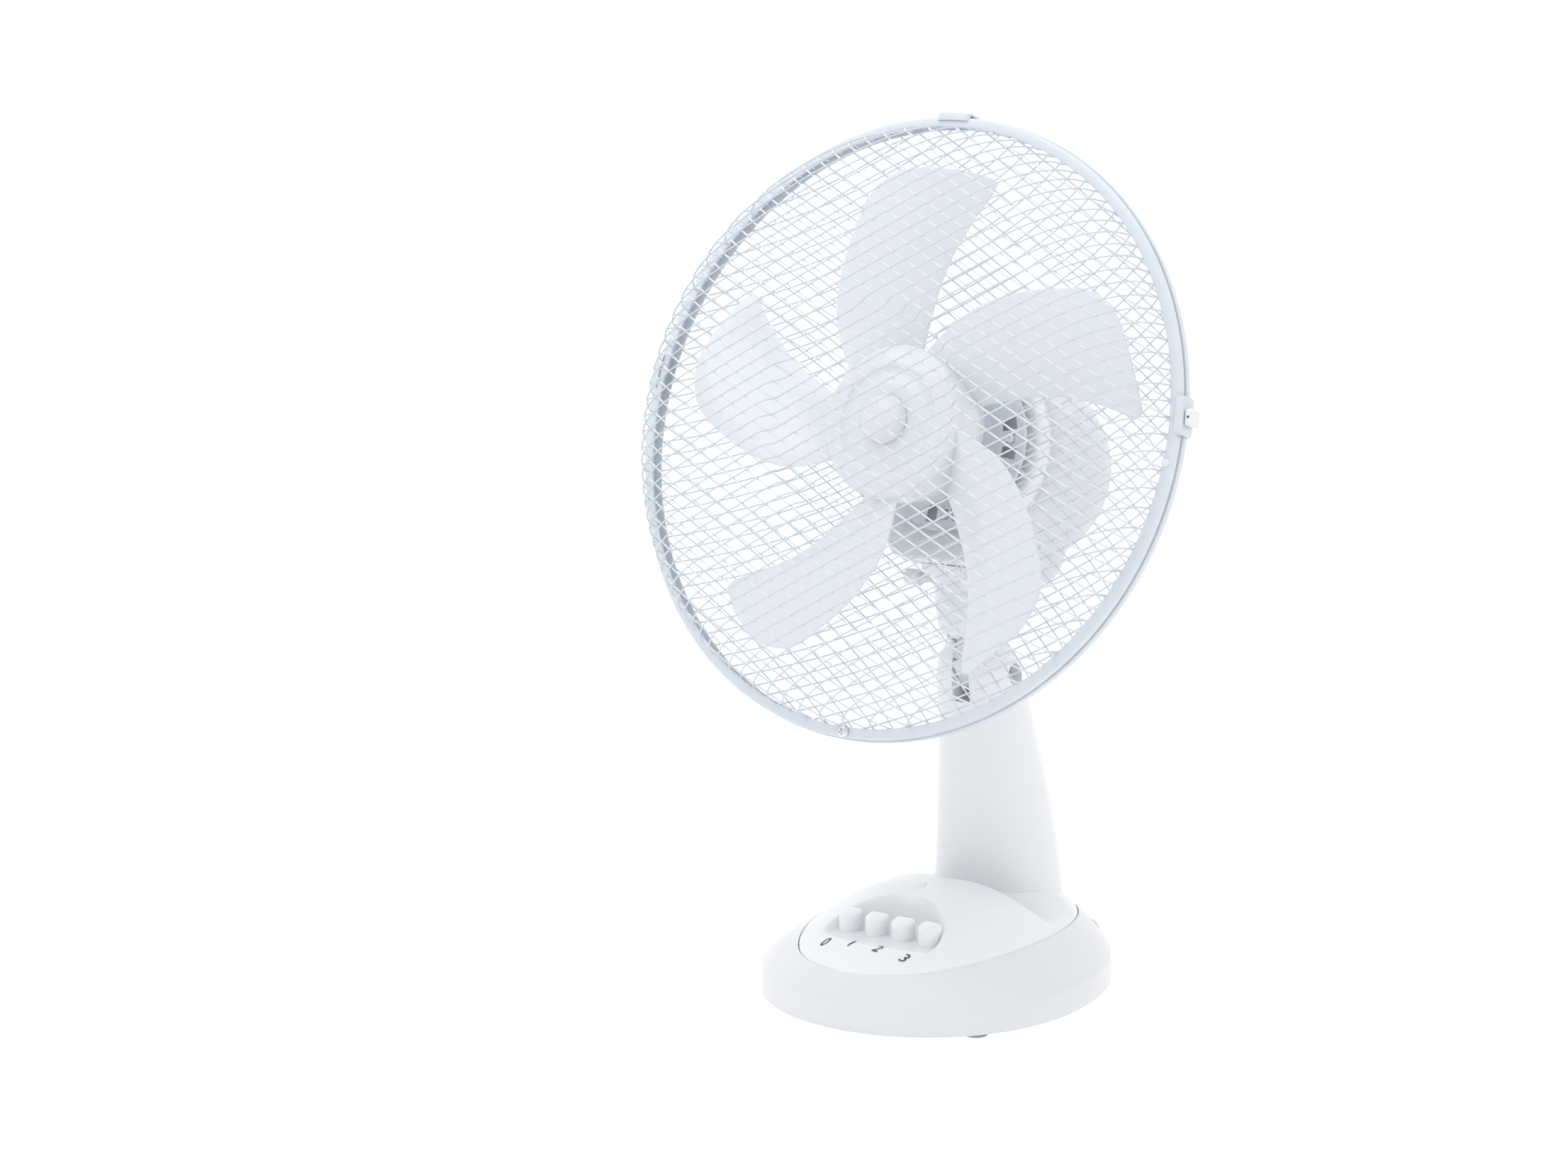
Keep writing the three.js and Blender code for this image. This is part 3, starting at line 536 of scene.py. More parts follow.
def build_cover():
    rings = []
    for share, drop in ((0.982, 5.0), (1.0, 5.0), (1.0, 1.0), (0.998, 0.45), (0.995, 0.15)):
        rings.append([(x, y, float(seam_height(y)) - drop) for x, y in cover_ring(share)])
    for share in np.linspace(0.99, 0.012, 84):
        points = np.array(cover_ring(share))
        heights = cover_height(points[:, 0], points[:, 1])
        rings.append([(x, y, z) for (x, y), z in zip(points, heights)])
    add("cover_skin", loft(rings, first_cap=False), BASE_FRAME, WHITE, "base", "white_plastic",
        "control_cover", sharp=60)


def base_ring(share, rise, inset=0.0):
    """Points between the base's outline (share 0) and the cover's seam (share 1). The height is a
    number, or a function of the seam's height there."""
    front = superellipse(BASE_HALF_WIDTH - inset, BASE_FRONT_DEPTH - inset, BASE_POWER, BASE_COUNT)
    rear = superellipse(BASE_HALF_WIDTH - inset, BASE_REAR_DEPTH - inset, BASE_POWER, BASE_COUNT)
    outline = [back if back[1] > 0 else ahead for ahead, back in zip(front, rear)]
    seam = superellipse(COVER_HALF_WIDTH + COVER_CLEARANCE, COVER_HALF_DEPTH + COVER_CLEARANCE,
                        2.0, BASE_COUNT, centre_y_mm=COVER_Y)
    ring = []
    for a, b in zip(outline, seam):
        z = rise(float(seam_height(b[1]))) if callable(rise) else rise
        ring.append((a[0] * (1 - share) + b[0] * share, a[1] * (1 - share) + b[1] * share, z))
    return ring


def build_base_shell():
    """The skirt from its inner wall around the bottom edge and up to the cover's seam."""
    low, top = SKIRT_BOTTOM, SKIRT_TOP
    skirt = ((0.0, 18.0, WALL), (0.0, low + 0.5, WALL), (0.0, low, WALL - 0.5), (0.0, low, 0.7),
             (0.0, low + 0.7, 0.1), (0.0, 8.0, 0.0), (0.0, 14.0, 0.15), (0.0, top - 3.5, 0.4),
             (0.0, top - 1.8, 0.7), (0.0, top - 0.7, 1.2), (0.01, top, 1.8))
    rings = [base_ring(share, z, inset) for share, z, inset in skirt]
    for share in np.linspace(0.05, 0.97, 22):
        def rise(seam, share=share):
            return top + 0.4 + (seam - top - 0.4) * share ** 0.82
        rings.append(base_ring(share, rise, 1.8 * (1 - share)))
    for share, drop in ((0.99, 0.25), (1.0, 0.7), (1.0, 4.0), (1.05, 4.4)):
        rings.append(base_ring(share, lambda seam, drop=drop: seam - drop))
    # The base shell takes the darker copy of the white: painted shade.
    add("base_skin", loft(rings, first_cap=False, last_cap=False), BASE_FRAME,
        SHADED_SKIRT_WHITE, "base", "white_plastic", "base_shell", sharp=50)


# ---------------------------------------------------------------- keys and digits
KEY_NODES = ("key_off", "key_low", "key_medium", "key_high")
KEY_BODIES = ("off_key", "low_key", "medium_key", "high_key")
KEY_SHARE = 0.9
KEY_CORNER = 2.2
DIGIT_Y = -86.0
DIGIT_SIZE = 11.5
DIGIT_SLANT = 0.28
DIGIT_LIFT = 0.5


def key_outline(half_width, half_depth, grow=0.0):
    """A key's plan, flat at the rear and round towards the front."""
    points = []
    for i in range(40):
        angle = math.pi + math.pi * i / 39
        points.append(((half_width + grow) * math.cos(angle),
                       (half_depth * 1.5 + grow) * math.sin(angle) + half_depth * 0.5))
    corner_x = half_width + grow - KEY_CORNER
    corner_y = half_depth + grow - KEY_CORNER
    for side, start in ((1, 0.0), (-1, math.pi / 2)):
        for i in range(7):
            angle = start + math.pi / 2 * i / 6
            points.append((side * corner_x + KEY_CORNER * math.cos(angle),
                           corner_y + KEY_CORNER * math.sin(angle)))
    return points


def build_keys():
    """Each key's cap, sloped up towards the rear, and the dark gap around its foot."""
    for node, body in zip(KEY_NODES, KEY_BODIES):
        low, high = local_box(node, BASE_FRAME)
        middle_x, middle_y = (low[0] + high[0]) / 2, (low[1] + high[1]) / 2
        half_width = (high[0] - low[0]) / 2 * KEY_SHARE
        half_depth = (high[1] - low[1]) / 2 * KEY_SHARE
        outline = key_outline(half_width, half_depth)
        rings = [[(middle_x + x, middle_y + y, low[2]) for x, y in outline]]
        steps = ((1.0, 2.6), (0.985, 1.5), (0.95, 0.75), (0.88, 0.25), (0.7, -0.1), (0.45, -0.3),
                 (0.2, -0.4), (0.02, -0.4))
        for share, drop in steps:
            ring = []
            for x, y in outline:
                slope = (y * share - half_depth) * 0.22
                sag = 0.9 * (x * share / half_width) ** 2
                ring.append((middle_x + x * share, middle_y + y * share,
                             high[2] - 0.4 - drop + slope - sag))
            rings.append(ring)
        name = node.replace("key_", "")
        add(f"{name}_key_cap", loft(rings), BASE_FRAME, KEY_WHITE, body, "white_plastic", node,
            sharp=40)
        rim = key_outline(half_width, half_depth, 0.45)
        gap = loft([[(middle_x + x, middle_y + y, z) for x, y in rim]
                    for z in (TRAY_FLOOR - 1.0, TRAY_FLOOR + 0.25)])
        add(f"{name}_key_gap", gap, BASE_FRAME, DARK_GAP, "base", "grey_rubber")


def build_digits():
    """Printed digits in front of the keys, laid onto the cover's slope."""
    for index, node in enumerate(KEY_NODES):
        low, high = local_box(node, BASE_FRAME)
        middle_x = (low[0] + high[0]) / 2
        curve = bpy.data.curves.new(f"digit_{index}_curve", "FONT")
        curve.body = str(index)
        curve.size = DIGIT_SIZE
        curve.shear = DIGIT_SLANT
        curve.align_x = "CENTER"
        curve.align_y = "CENTER"
        letter = scene_object(f"digit_{index}_curve", curve)
        graph = bpy.context.evaluated_depsgraph_get()
        graph.update()
        mesh = bpy.data.meshes.new_from_object(letter.evaluated_get(graph))
        bpy.data.objects.remove(letter)
        bm = bmesh.new()
        bm.from_mesh(mesh)
        bmesh.ops.triangulate(bm, faces=bm.faces)
        bmesh.ops.subdivide_edges(bm, edges=bm.edges, cuts=2)
        for vertex in bm.verts:
            x = middle_x + vertex.co.x
            y = DIGIT_Y + vertex.co.y
            vertex.co = (x, y, float(cover_height(x, y)) + DIGIT_LIFT)
        bm.to_mesh(mesh)
        bm.free()
        mesh.transform(BASE_FRAME)
        digit = scene_object(f"digit_{index}", mesh)
        finish_piece(digit, INK, "base", "white_plastic")


# ---------------------------------------------------------------- pillar, bracket and neck
TILT = in_base(joint_point("head_tilt"))
NECK_GAP = 0.4
NECK_Y = 50.5
NECK_LOWEST = 246.0
CAP_RADIUS = 27.0  # round top of the pillar, about the tilt bolt
PILLAR_SECTIONS = ((30, 53, 34.5, 86.5), (60, 50, 34, 86), (100, 46.5, 33, 83),
                   (140, 41, 31.5, 77), (180, 35.5, 29.5, 70), (215, 33, 26.5, 61),
                   (250, 28, 24, 57))


def section_at(z):
    """Half width, half depth and middle of the pillar at a height."""
    heights = [row[0] for row in PILLAR_SECTIONS]
    return [float(np.interp(z, heights, [row[k] for row in PILLAR_SECTIONS])) for k in (1, 2, 3)]


def build_pillar():
    """The pillar with its round top, the slot for the bracket and the wells for the bolt."""
    top = float(TILT.z) + CAP_RADIUS
    rings = []
    for z in list(np.linspace(40, 200, 33)) + list(np.linspace(204, top - 0.6, 22)):
        half_width, half_depth, middle = section_at(z)
        above = max(z - TILT.z, 0.0)
        shrink = math.sqrt(max(CAP_RADIUS ** 2 - above ** 2, 0.0)) / CAP_RADIUS
        middle = middle * shrink + TILT.y * (1 - shrink)
        rings.append(superellipse(half_width * (0.35 + 0.65 * shrink),
                                  half_depth * max(shrink, 0.12), 2.15, 96, z, middle))
    piece = mesh_object("pillar_skin", loft(rings), BASE_FRAME, 40)
    slot = soft_box((-7.4, TILT.y - 60, TILT.z - 20), (7.4, TILT.y + 43, TILT.z + 60), 3.0)
    cut_away(piece, slot, BASE_FRAME)
    for side in (-1, 1):
        well = lathe([(8.0, 17.5), (8.0, 45.0)], 48)
        cut_away(piece, moved(moved(well, turn=90 * side, axis="Y"), TILT), BASE_FRAME)
    smooth_mesh(piece.data, 35)
    finish_piece(piece, WHITE, "base", "white_plastic", "pillar")


def head_plane_z(y, height):
    """Height in the base frame of a head plane across the swing axis, above a base y."""
    centre = in_base(joint_point("rotor_spin"))
    up = joint_axis("head_swing")
    return centre.z + (height - up.y * (y - centre.y)) / up.z


def build_neck():
    """The neck's cup, from (share of the height, radius) points, slotted for the bracket."""
    top_plane = min(FRONT_HOUSING[0][1], REAR_HOUSING[0][1]) - NECK_GAP
    start = max(float(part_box("neck")[0].z) / MM, NECK_LOWEST)
    profile = ((0.0, 10.0), (0.004, 15.0), (0.03, 19.5), (0.08, 22.4), (0.16, 24.4), (0.3, 25.8),
               (0.5, 26.6), (0.68, 27.0), (0.78, 28.2), (0.86, 31.0), (0.92, 34.2), (0.97, 36.2),
               (0.99, 36.8), (1.0, 36.2))
    rings = []
    for share, radius in profile:
        ring = []
        for x, y, _ in circle(radius, 96, centre=(0.0, NECK_Y)):
            high = head_plane_z(y, top_plane)
            ring.append((x, y, start + share * (high - start)))
        rings.append(ring)
    piece = mesh_object("neck_skin", loft(rings), BASE_FRAME, 40)
    slot = soft_box((-6.8, TILT.y - 31, TILT.z - 20), (6.8, TILT.y + 22, TILT.z + 33.6), 1.0)
    cut_away(piece, slot, BASE_FRAME)
    finish_piece(piece, WHITE, "neck", "white_plastic", "neck")


def build_bracket():
    """The tilt bracket's plate, with a row of notches in its front edge."""
    low, high = local_box("tilt_bracket", BASE_FRAME)
    rear_top = (TILT.y + 14, high[2])
    outline = rounded([(TILT.y + 16, TILT.z - 3), rear_top, (low[1], high[2]),
                       (low[1], TILT.z + 6), (TILT.y - 15, TILT.z - 10), (TILT.y - 4, low[2]),
                       (TILT.y + 7, low[2])], [10, 2, 2, 4, 8, 8, 8], 6)
    rings = []
    for x, scale in ((low[0], 0.96), (low[0] + 0.8, 1.0), (high[0] - 0.8, 1.0), (high[0], 0.96)):
        rings.append([(x, TILT.y + (y - TILT.y) * scale, TILT.z + (z - TILT.z) * scale)
                      for y, z in outline])
    piece = mesh_object("bracket_plate", loft(rings), BASE_FRAME, 35)
    for step in range(5):
        z = TILT.z + 10 + 4.6 * step
        notch = soft_box((low[0] - 1, low[1] - 2, z), (low[0] + 4.0, low[1] + 3.0, z + 2.2), 0.4, 1)
        cut_away(piece, notch, BASE_FRAME)
    finish_piece(piece, STEEL, "neck", "coated_steel", "tilt_bracket")


def ribbed_knob(profile, count, ribs, depth, rib_low, rib_high):
    """A turned knob whose grip between two heights has ribs."""
    rings = []
    for radius, z in profile:
        grip = depth if rib_low <= z <= rib_high else 0.0
        ring = []
        for angle in turns(count):
            reach = max(radius - grip * (0.5 - 0.5 * math.cos(ribs * angle)), 0.02)
            ring.append((reach * math.cos(angle), reach * math.sin(angle), z))
        rings.append(ring)
    return loft(rings)


def build_lock_knob():
    middle = in_base(joint_point("lock_turn"))
    profile = [(3.0, 24), (3.0, 36.3), (5.6, 36.8), (6.1, 37.6), (6.2, 39), (6.1, 46.5), (5.7, 48.6),
               (4.6, 49.8), (2.6, 50.3), (0.0, 50.4)]
    knob = ribbed_knob(profile, 96, 16, 0.45, 38.5, 47.5)
    place = moved(moved(knob, turn=-90, axis="Y"), (0.0, middle.y, middle.z))
    add("lock_knob_cap", place, BASE_FRAME, WHITE, "lock", "white_plastic", "lock_knob")


# ---------------------------------------------------------------- motor housing
FRONT_HOUSING = local_box("front_housing", HEAD_FRAME)
REAR_HOUSING = local_box("rear_housing", HEAD_FRAME)
LUG_ANGLES = (8, 98, 188, 278)
LUG_RADIUS = 51.0
LINK_ROOM = np.array((15.0, 2.0, 11.0))  # opening around the crank link
HOUSING_RADIUS = 70.0
CHIN_POWER = 9.0
REAR_EDGE_Z = -148.0  # where the rear housing starts to round off
REAR_FACE_Z = -168.0


def housing_outline(radius, chin_half, chin_depth, z, count=144):
    """A circle with a squared chin below, as one ring of points."""
    ring = []
    for angle in turns(count):
        c, s = math.cos(angle), math.sin(angle)
        reach = radius
        if s < 0 and chin_depth > 0:
            sides = (abs(c) / chin_half) ** CHIN_POWER + (abs(s) / chin_depth) ** CHIN_POWER
            box_reach = sides ** (-1 / CHIN_POWER)
            if box_reach > radius - 8:
                reach = float(soft_max(radius, box_reach, 4.0))
        ring.append((reach * c, reach * s, z))
    return ring


def build_rear_housing():
    """The rear shell: straight walls, a round edge and a domed back with slots, and openings for
    the clutch knob's stem and the crank link."""
    chin = -REAR_HOUSING[0][1]
    rear = REAR_HOUSING[0][2]
    rings = [housing_outline(HOUSING_RADIUS - inset, 48.0 - inset, chin - inset, z)
             for z, inset in ((-84.2, 0.6), (-85.0, 0.0), (-100.0, 0.0), (-125.0, 0.0),
                              (REAR_EDGE_Z, 0.0))]
    for step in range(1, 13):
        turn = math.pi / 2 * step / 13
        away = 1 - math.cos(turn)
        z = REAR_EDGE_Z - (REAR_EDGE_Z - REAR_FACE_Z) * math.sin(turn)
        rings.append(housing_outline(HOUSING_RADIUS - 4.0 * away, 48.0 - 6.0 * away,
                                     chin - 16.0 * away ** 0.9, z))
    for step in range(1, 24):
        turn = math.pi / 2 * step / 24
        reach = (HOUSING_RADIUS - 4.0) * math.cos(turn) ** 0.62
        z = REAR_FACE_Z - (REAR_FACE_Z - rear) * math.sin(turn)
        rings.append(housing_outline(reach, 1.0, 0.0, z))
    piece = mesh_object("rear_housing_skin", loft(rings, first_cap=False), HEAD_FRAME, 40)
    thicken(piece, WALL)
    for row in range(-4, 5):
        y = row * 9.0
        half = math.sqrt(46.0 ** 2 - y ** 2)
        slot = soft_box((-half, y - 1.5, rear - 5), (half, y + 1.5, rear + 32), 1.2, 2)
        cut_away(piece, slot, HEAD_FRAME)
    stem_hole = lathe([(4.0, 40.0), (4.0, 100.0)], 32)
    crank_z = in_head(joint_point("crank_turn")).z
    link_low, link_high = local_box("crank_link", HEAD_FRAME)
    cut_away(piece, soft_box(link_low - LINK_ROOM, link_high + LINK_ROOM, 1.5), HEAD_FRAME)
    cut_away(piece, moved(moved(stem_hole, turn=-90, axis="X"), (0, 0, crank_z)), HEAD_FRAME)
    smooth_mesh(piece.data, 40)
    # The rear housing takes the darker copy of the white: painted shade.
    finish_piece(piece, SHADED_HOUSING_WHITE, "head", "white_plastic", "rear_housing")


def build_front_housing():
    """The front shell with a lip at its joint with the rear one, and four lugs for the disc."""
    chin = -FRONT_HOUSING[0][1]
    rings = []
    for inset, z in ((2.6, -86.4), (2.4, -84.6), (-1.2, -84.3), (-1.2, -83.7), (0.1, -83.3),
                     (0.0, -82.0), (0.0, -71.5), (0.5, -69.6), (1.6, -68.2), (3.2, -67.6)):
        rings.append(housing_outline(68.0 - inset, 46.0 - inset, chin - inset, z))
    face = rings[-1]
    for share in (0.9, 0.7, 0.5, 0.32):
        rings.append([(x * share, y * share, z) for x, y, z in face])
    body = loft(rings)
    lugs = []
    profile = [(5.0, -68.4), (5.0, -60.0), (4.6, -59.2), (3.2, -59.0), (3.2, -54.9), (2.7, -54.2),
               (1.5, -54.0), (1.2, -54.8), (0.0, -55.0)]
    for degrees in LUG_ANGLES:
        lugs.append(moved(moved(lathe(profile, 32), (LUG_RADIUS, 0, 0)), turn=degrees))
    add("front_housing_skin", joined(body, *lugs), HEAD_FRAME, WHITE, "head", "white_plastic",
        "front_housing")


def build_clutch_knob():
    low, high = local_box("clutch_knob", HEAD_FRAME)
    middle_z = (low[2] + high[2]) / 2
    profile = [(2.6, low[1]), (2.6, 79.0), (6.0, 79.0), (8.6, 79.4), (9.6, 80.4), (10.4, 84.0),
               (10.2, 88.0), (9.6, 93.5), (8.8, 96.2), (7.0, 98.0), (4.0, 98.8), (0.0, high[1])]
    knob = ribbed_knob(profile, 120, 20, 0.6, 81.0, 95.0)
    placed = moved(moved(knob, turn=-90, axis="X"), (0, 0, middle_z))
    add("clutch_knob_cap", placed, HEAD_FRAME, WHITE, "clutch", "white_plastic", "clutch_knob")


# ---------------------------------------------------------------- guards
FRONT_RIM = local_box("front_rim", HEAD_FRAME)
REAR_RIM = local_box("rear_rim", HEAD_FRAME)
FRONT_MESH = local_box("front_mesh", HEAD_FRAME)
DISC = local_box("rear_disc", HEAD_FRAME)
MESH_RADIUS = 209.0
SHOULDER_RADIUS = 149.0
WIRE_RADIUS = 0.62
WIRE_PITCH = 10.0
WIRES_EACH_WAY = 41
WELD_SINK = 0.52
FLANGE = 7.5
EMBOSS_DEPTH = 7.5
EMBOSS_INNER, EMBOSS_OUTER = 70.0, 80.0


def guard_height(radius, front):
    """Height of a guard's wires over the rim plane. The front is a nearly flat face with a round
    shoulder and a sunk round middle, and the rear falls off towards the rim."""
    if front:
        rim, crown = 4.0, 6.0
        t = np.clip((radius - SHOULDER_RADIUS) / (MESH_RADIUS - SHOULDER_RADIUS), 0.0, 1.0)
        shoulder = (FRONT_MESH[1][2] - 0.6 - rim - crown) * np.sqrt(1 - t * t)
        face = crown * (1 - np.minimum(1.0, radius / SHOULDER_RADIUS) ** 2)
        sunk = EMBOSS_DEPTH * (1 - smoothstep(radius, EMBOSS_INNER, EMBOSS_OUTER))
        return rim + shoulder + face - sunk
    rim, crown, flat = -4.0, DISC[1][2], DISC[1][0] - 4
    t = np.clip((radius - flat) / (MESH_RADIUS - flat), 0.0, 1.0)
    return rim + (crown - rim) * (1 - t ** 2.4)


def wire_runs(offset, inner):
    """Start and end of the stretches of a wire that lie between the disc and the rim."""
    half = math.sqrt((MESH_RADIUS + 1.0) ** 2 - offset ** 2)
    if abs(offset) >= inner:
        return [(-half, half)]
    gap = math.sqrt(inner ** 2 - offset ** 2)
    return [(-half, -gap), (gap, half)]


def wire_stations(start, end):
    """Points along a wire, closer together where it turns down to the rim."""
    steps = max(6, int((end - start) / 3.6))
    even = np.linspace(-1.0, 1.0, steps)
    eased = 0.35 * even + 0.65 * np.sin(even * math.pi / 2)
    return (start + end) / 2 + (end - start) / 2 * eased


def wire_family(degrees, lift, front, wander, seed):
    """Parallel wires across a guard, bent over its dome."""
    draw = np.random.default_rng(seed)
    wires, spots = [], []
    inner = 0.0 if front else DISC[1][0] - 0.6
    for i in range(WIRES_EACH_WAY):
        offset = (i - (WIRES_EACH_WAY - 1) / 2) * WIRE_PITCH
        phase = draw.uniform(0.0, 2 * math.pi, 2)
        for start, end in wire_runs(offset, inner):
            along = wire_stations(start, end)
            side = offset + wander * (np.sin(along / 37.0 + phase[0]) +
                                      0.6 * np.sin(along / 19.0 + phase[1]))
            height = guard_height(np.hypot(along, side), front) + lift
            points = np.column_stack((along, side, height))
            wires.append(tube(points, WIRE_RADIUS))
            if not front:
                spots.extend(points[k] for k in (0, -1) if np.hypot(*points[k][:2]) < inner + 2)
    turned = moved(joined(*wires), turn=degrees)
    welds = [moved(lathe([(0.4, -0.75), (0.95, -0.45), (1.15, 0.0), (0.95, 0.45), (0.4, 0.75)], 10),
                   spot) for spot in spots]
    return turned, moved(joined(*welds), turn=degrees) if welds else None


def build_wires():
    outer, _ = wire_family(31, WELD_SINK, True, 0.12, 3)
    inner, _ = wire_family(-26, -WELD_SINK, True, 0.15, 5)
    add("front_wires_outer", outer, HEAD_FRAME, WIRE, "head", "coated_wire", "front_mesh")
    add("front_wires_inner", inner, HEAD_FRAME, REAR_WIRE, "head", "coated_wire")
    rear_a, welds_a = wire_family(27, WELD_SINK, False, 0.35, 7)
    rear_b, welds_b = wire_family(-31, -WELD_SINK, False, 0.35, 9)
    add("rear_wires_a", rear_a, HEAD_FRAME, REAR_WIRE, "head", "coated_wire", "rear_mesh")
    add("rear_wires_b", rear_b, HEAD_FRAME, REAR_WIRE, "head", "coated_wire")
    add("rear_wire_welds", joined(welds_a, welds_b), HEAD_FRAME, STEEL, "head", "coated_wire")


def rolled_rim(outer, inner, lip, face):
    """A rolled sheet rim: a flange at the face, turned back along the outside."""
    side = 1 if face > lip else -1
    thickness = 1.5 * side
    corners = [(inner, face - thickness * 1.1), (inner, face), (outer, face), (outer, lip),
               (outer - 1.6, lip), (outer - 1.6, face - thickness)]
    return lathe(rounded(corners, [0.6, 0.7, 2.2, 0.7, 0.5, 1.0], 5), 240, closed_profile=True)


def build_rims():
    front = rolled_rim(FRONT_RIM[1][0], FRONT_RIM[1][0] - FLANGE, FRONT_RIM[0][2], FRONT_RIM[1][2])
    rear = rolled_rim(REAR_RIM[1][0], REAR_RIM[1][0] - FLANGE, REAR_RIM[1][2], REAR_RIM[0][2])
    for name, ring in (("front_rim", front), ("rear_rim", rear)):
        add(f"{name}_ring", ring, HEAD_FRAME, STEEL, "head", "coated_steel", name)


def polar_sheet(radii_heights, count, is_open):
    """A round sheet from (radius, z) rings without the cells that is_open picks."""
    vertices = []
    for radius, z in radii_heights:
        vertices.extend(circle(radius, count, z))
    faces = []
    for row in range(len(radii_heights) - 1):
        middle = (radii_heights[row][0] + radii_heights[row + 1][0]) / 2
        for i in range(count):
            if is_open(middle, 360.0 * (i + 0.5) / count):
                continue
            j = (i + 1) % count
            low, high = row * count, (row + 1) * count
            faces.append((low + i, low + j, high + j, high + i))
    used = sorted({index for face in faces for index in face})
    place = {index: k for k, index in enumerate(used)}
    return shape([vertices[k] for k in used], [[place[k] for k in face] for face in faces])


def in_disc_window(radius, degrees):
    """Whether a place lies in a window beside a lug, or in the hole over a lug."""
    for lug in LUG_ANGLES:
        away = abs((degrees - lug + 180) % 360 - 180)
        if 45.0 < radius < 56.5 and 6.5 < away < 15.5:
            return True
        if 47.6 < radius < 54.4 and away < 3.8:
            return True
    return False


def build_disc():
    """The rear guard's disc, and the motor's nose and the guard nut in its middle."""
    top = DISC[1][2]
    inner, outer = 21.0, DISC[1][0]
    rings = [(inner, top - 1.2), (inner + 0.6, top - 0.2), (inner + 1.6, top), (28.0, top)]
    rings += [(32.0, top - 0.1), (34.5, top - 1.2), (37.0, top - 1.3), (40.0, top - 0.2)]
    rings += [(radius, top) for radius in (43, 45, 47.6, 49.5, 51, 52.5, 54.4, 56.5, 58)]
    rings += [(59.8, top - 0.2), (61.2, top - 1.0), (outer, top - 2.4), (outer, top - 4.0)]
    piece = mesh_object("rear_disc_plate", polar_sheet(rings, 240, in_disc_window), HEAD_FRAME, 50)
    thicken(piece, 1.0)
    soften(piece, 0.3, 2, 60)
    smooth_mesh(piece.data, 50)
    finish_piece(piece, STEEL, "head", "coated_steel", "rear_disc")

    low, high = local_box("motor_nose", HEAD_FRAME)
    nose = lathe(rounded([(9.6, low[2]), (high[0], low[2]), (high[0], high[2]), (9.6, high[2])],
                         [0.2, 0.2, 1.2, 0.8]), 96, closed_profile=True)
    add("motor_nose_ring", nose, HEAD_FRAME, WHITE, "head", "white_plastic", "motor_nose")

    low, high = local_box("guard_nut", HEAD_FRAME)
    corners = rounded([(21.2, low[2]), (high[0], low[2]), (high[0], high[2]), (21.2, high[2])],
                      [0.3, 1.0, 1.4, 0.8])
    rings = []
    for radius, z in corners:
        ring = []
        for angle in turns(192):
            grip = 0.9 * (0.5 - 0.5 * math.cos(24 * angle)) if radius > 24 else 0.0
            ring.append(((radius - grip) * math.cos(angle), (radius - grip) * math.sin(angle), z))
        rings.append(ring)
    add("guard_nut_ring", loft(rings + rings[:1], first_cap=False, last_cap=False), HEAD_FRAME,
        WHITE, "head", "white_plastic", "guard_nut")


# ---------------------------------------------------------------- clips on the rim
LATCH_DEG = 6.0
CLIPS = (("clip_top", 90.0), ("clip_right", LATCH_DEG), ("clip_left", 180.0 - LATCH_DEG))


def rim_strip(outline, radius, degrees, half_length, corner=3.0, steps=24):
    """A formed strip that follows the rim; outline holds (outward, forward) points."""
    rings = []
    for step in range(steps + 1):
        along = -half_length + 2 * half_length * step / steps
        angle = math.radians(degrees) - along / radius
        end = max(abs(along) - (half_length - corner), 0.0)
        narrow = (corner - math.sqrt(max(corner ** 2 - end ** 2, 0.0))) * 0.6
        scale = 1 - narrow / 8.0
        rings.append([((radius + out) * math.cos(angle), (radius + out) * math.sin(angle),
                       forward * scale) for out, forward in outline])
    return loft(rings)


def rivet(radius, height):
    return lathe([(radius, -0.6), (radius, 0.0), (radius * 0.92, height * 0.5),
                  (radius * 0.6, height * 0.9), (0.0, height)], 32)


def on_rim(part, radius, degrees, forward=0.0):
    """Stands a shape's z axis outward on the rim."""
    return moved(moved(moved(part, turn=90, axis="Y"), (radius, 0, forward)), turn=degrees)


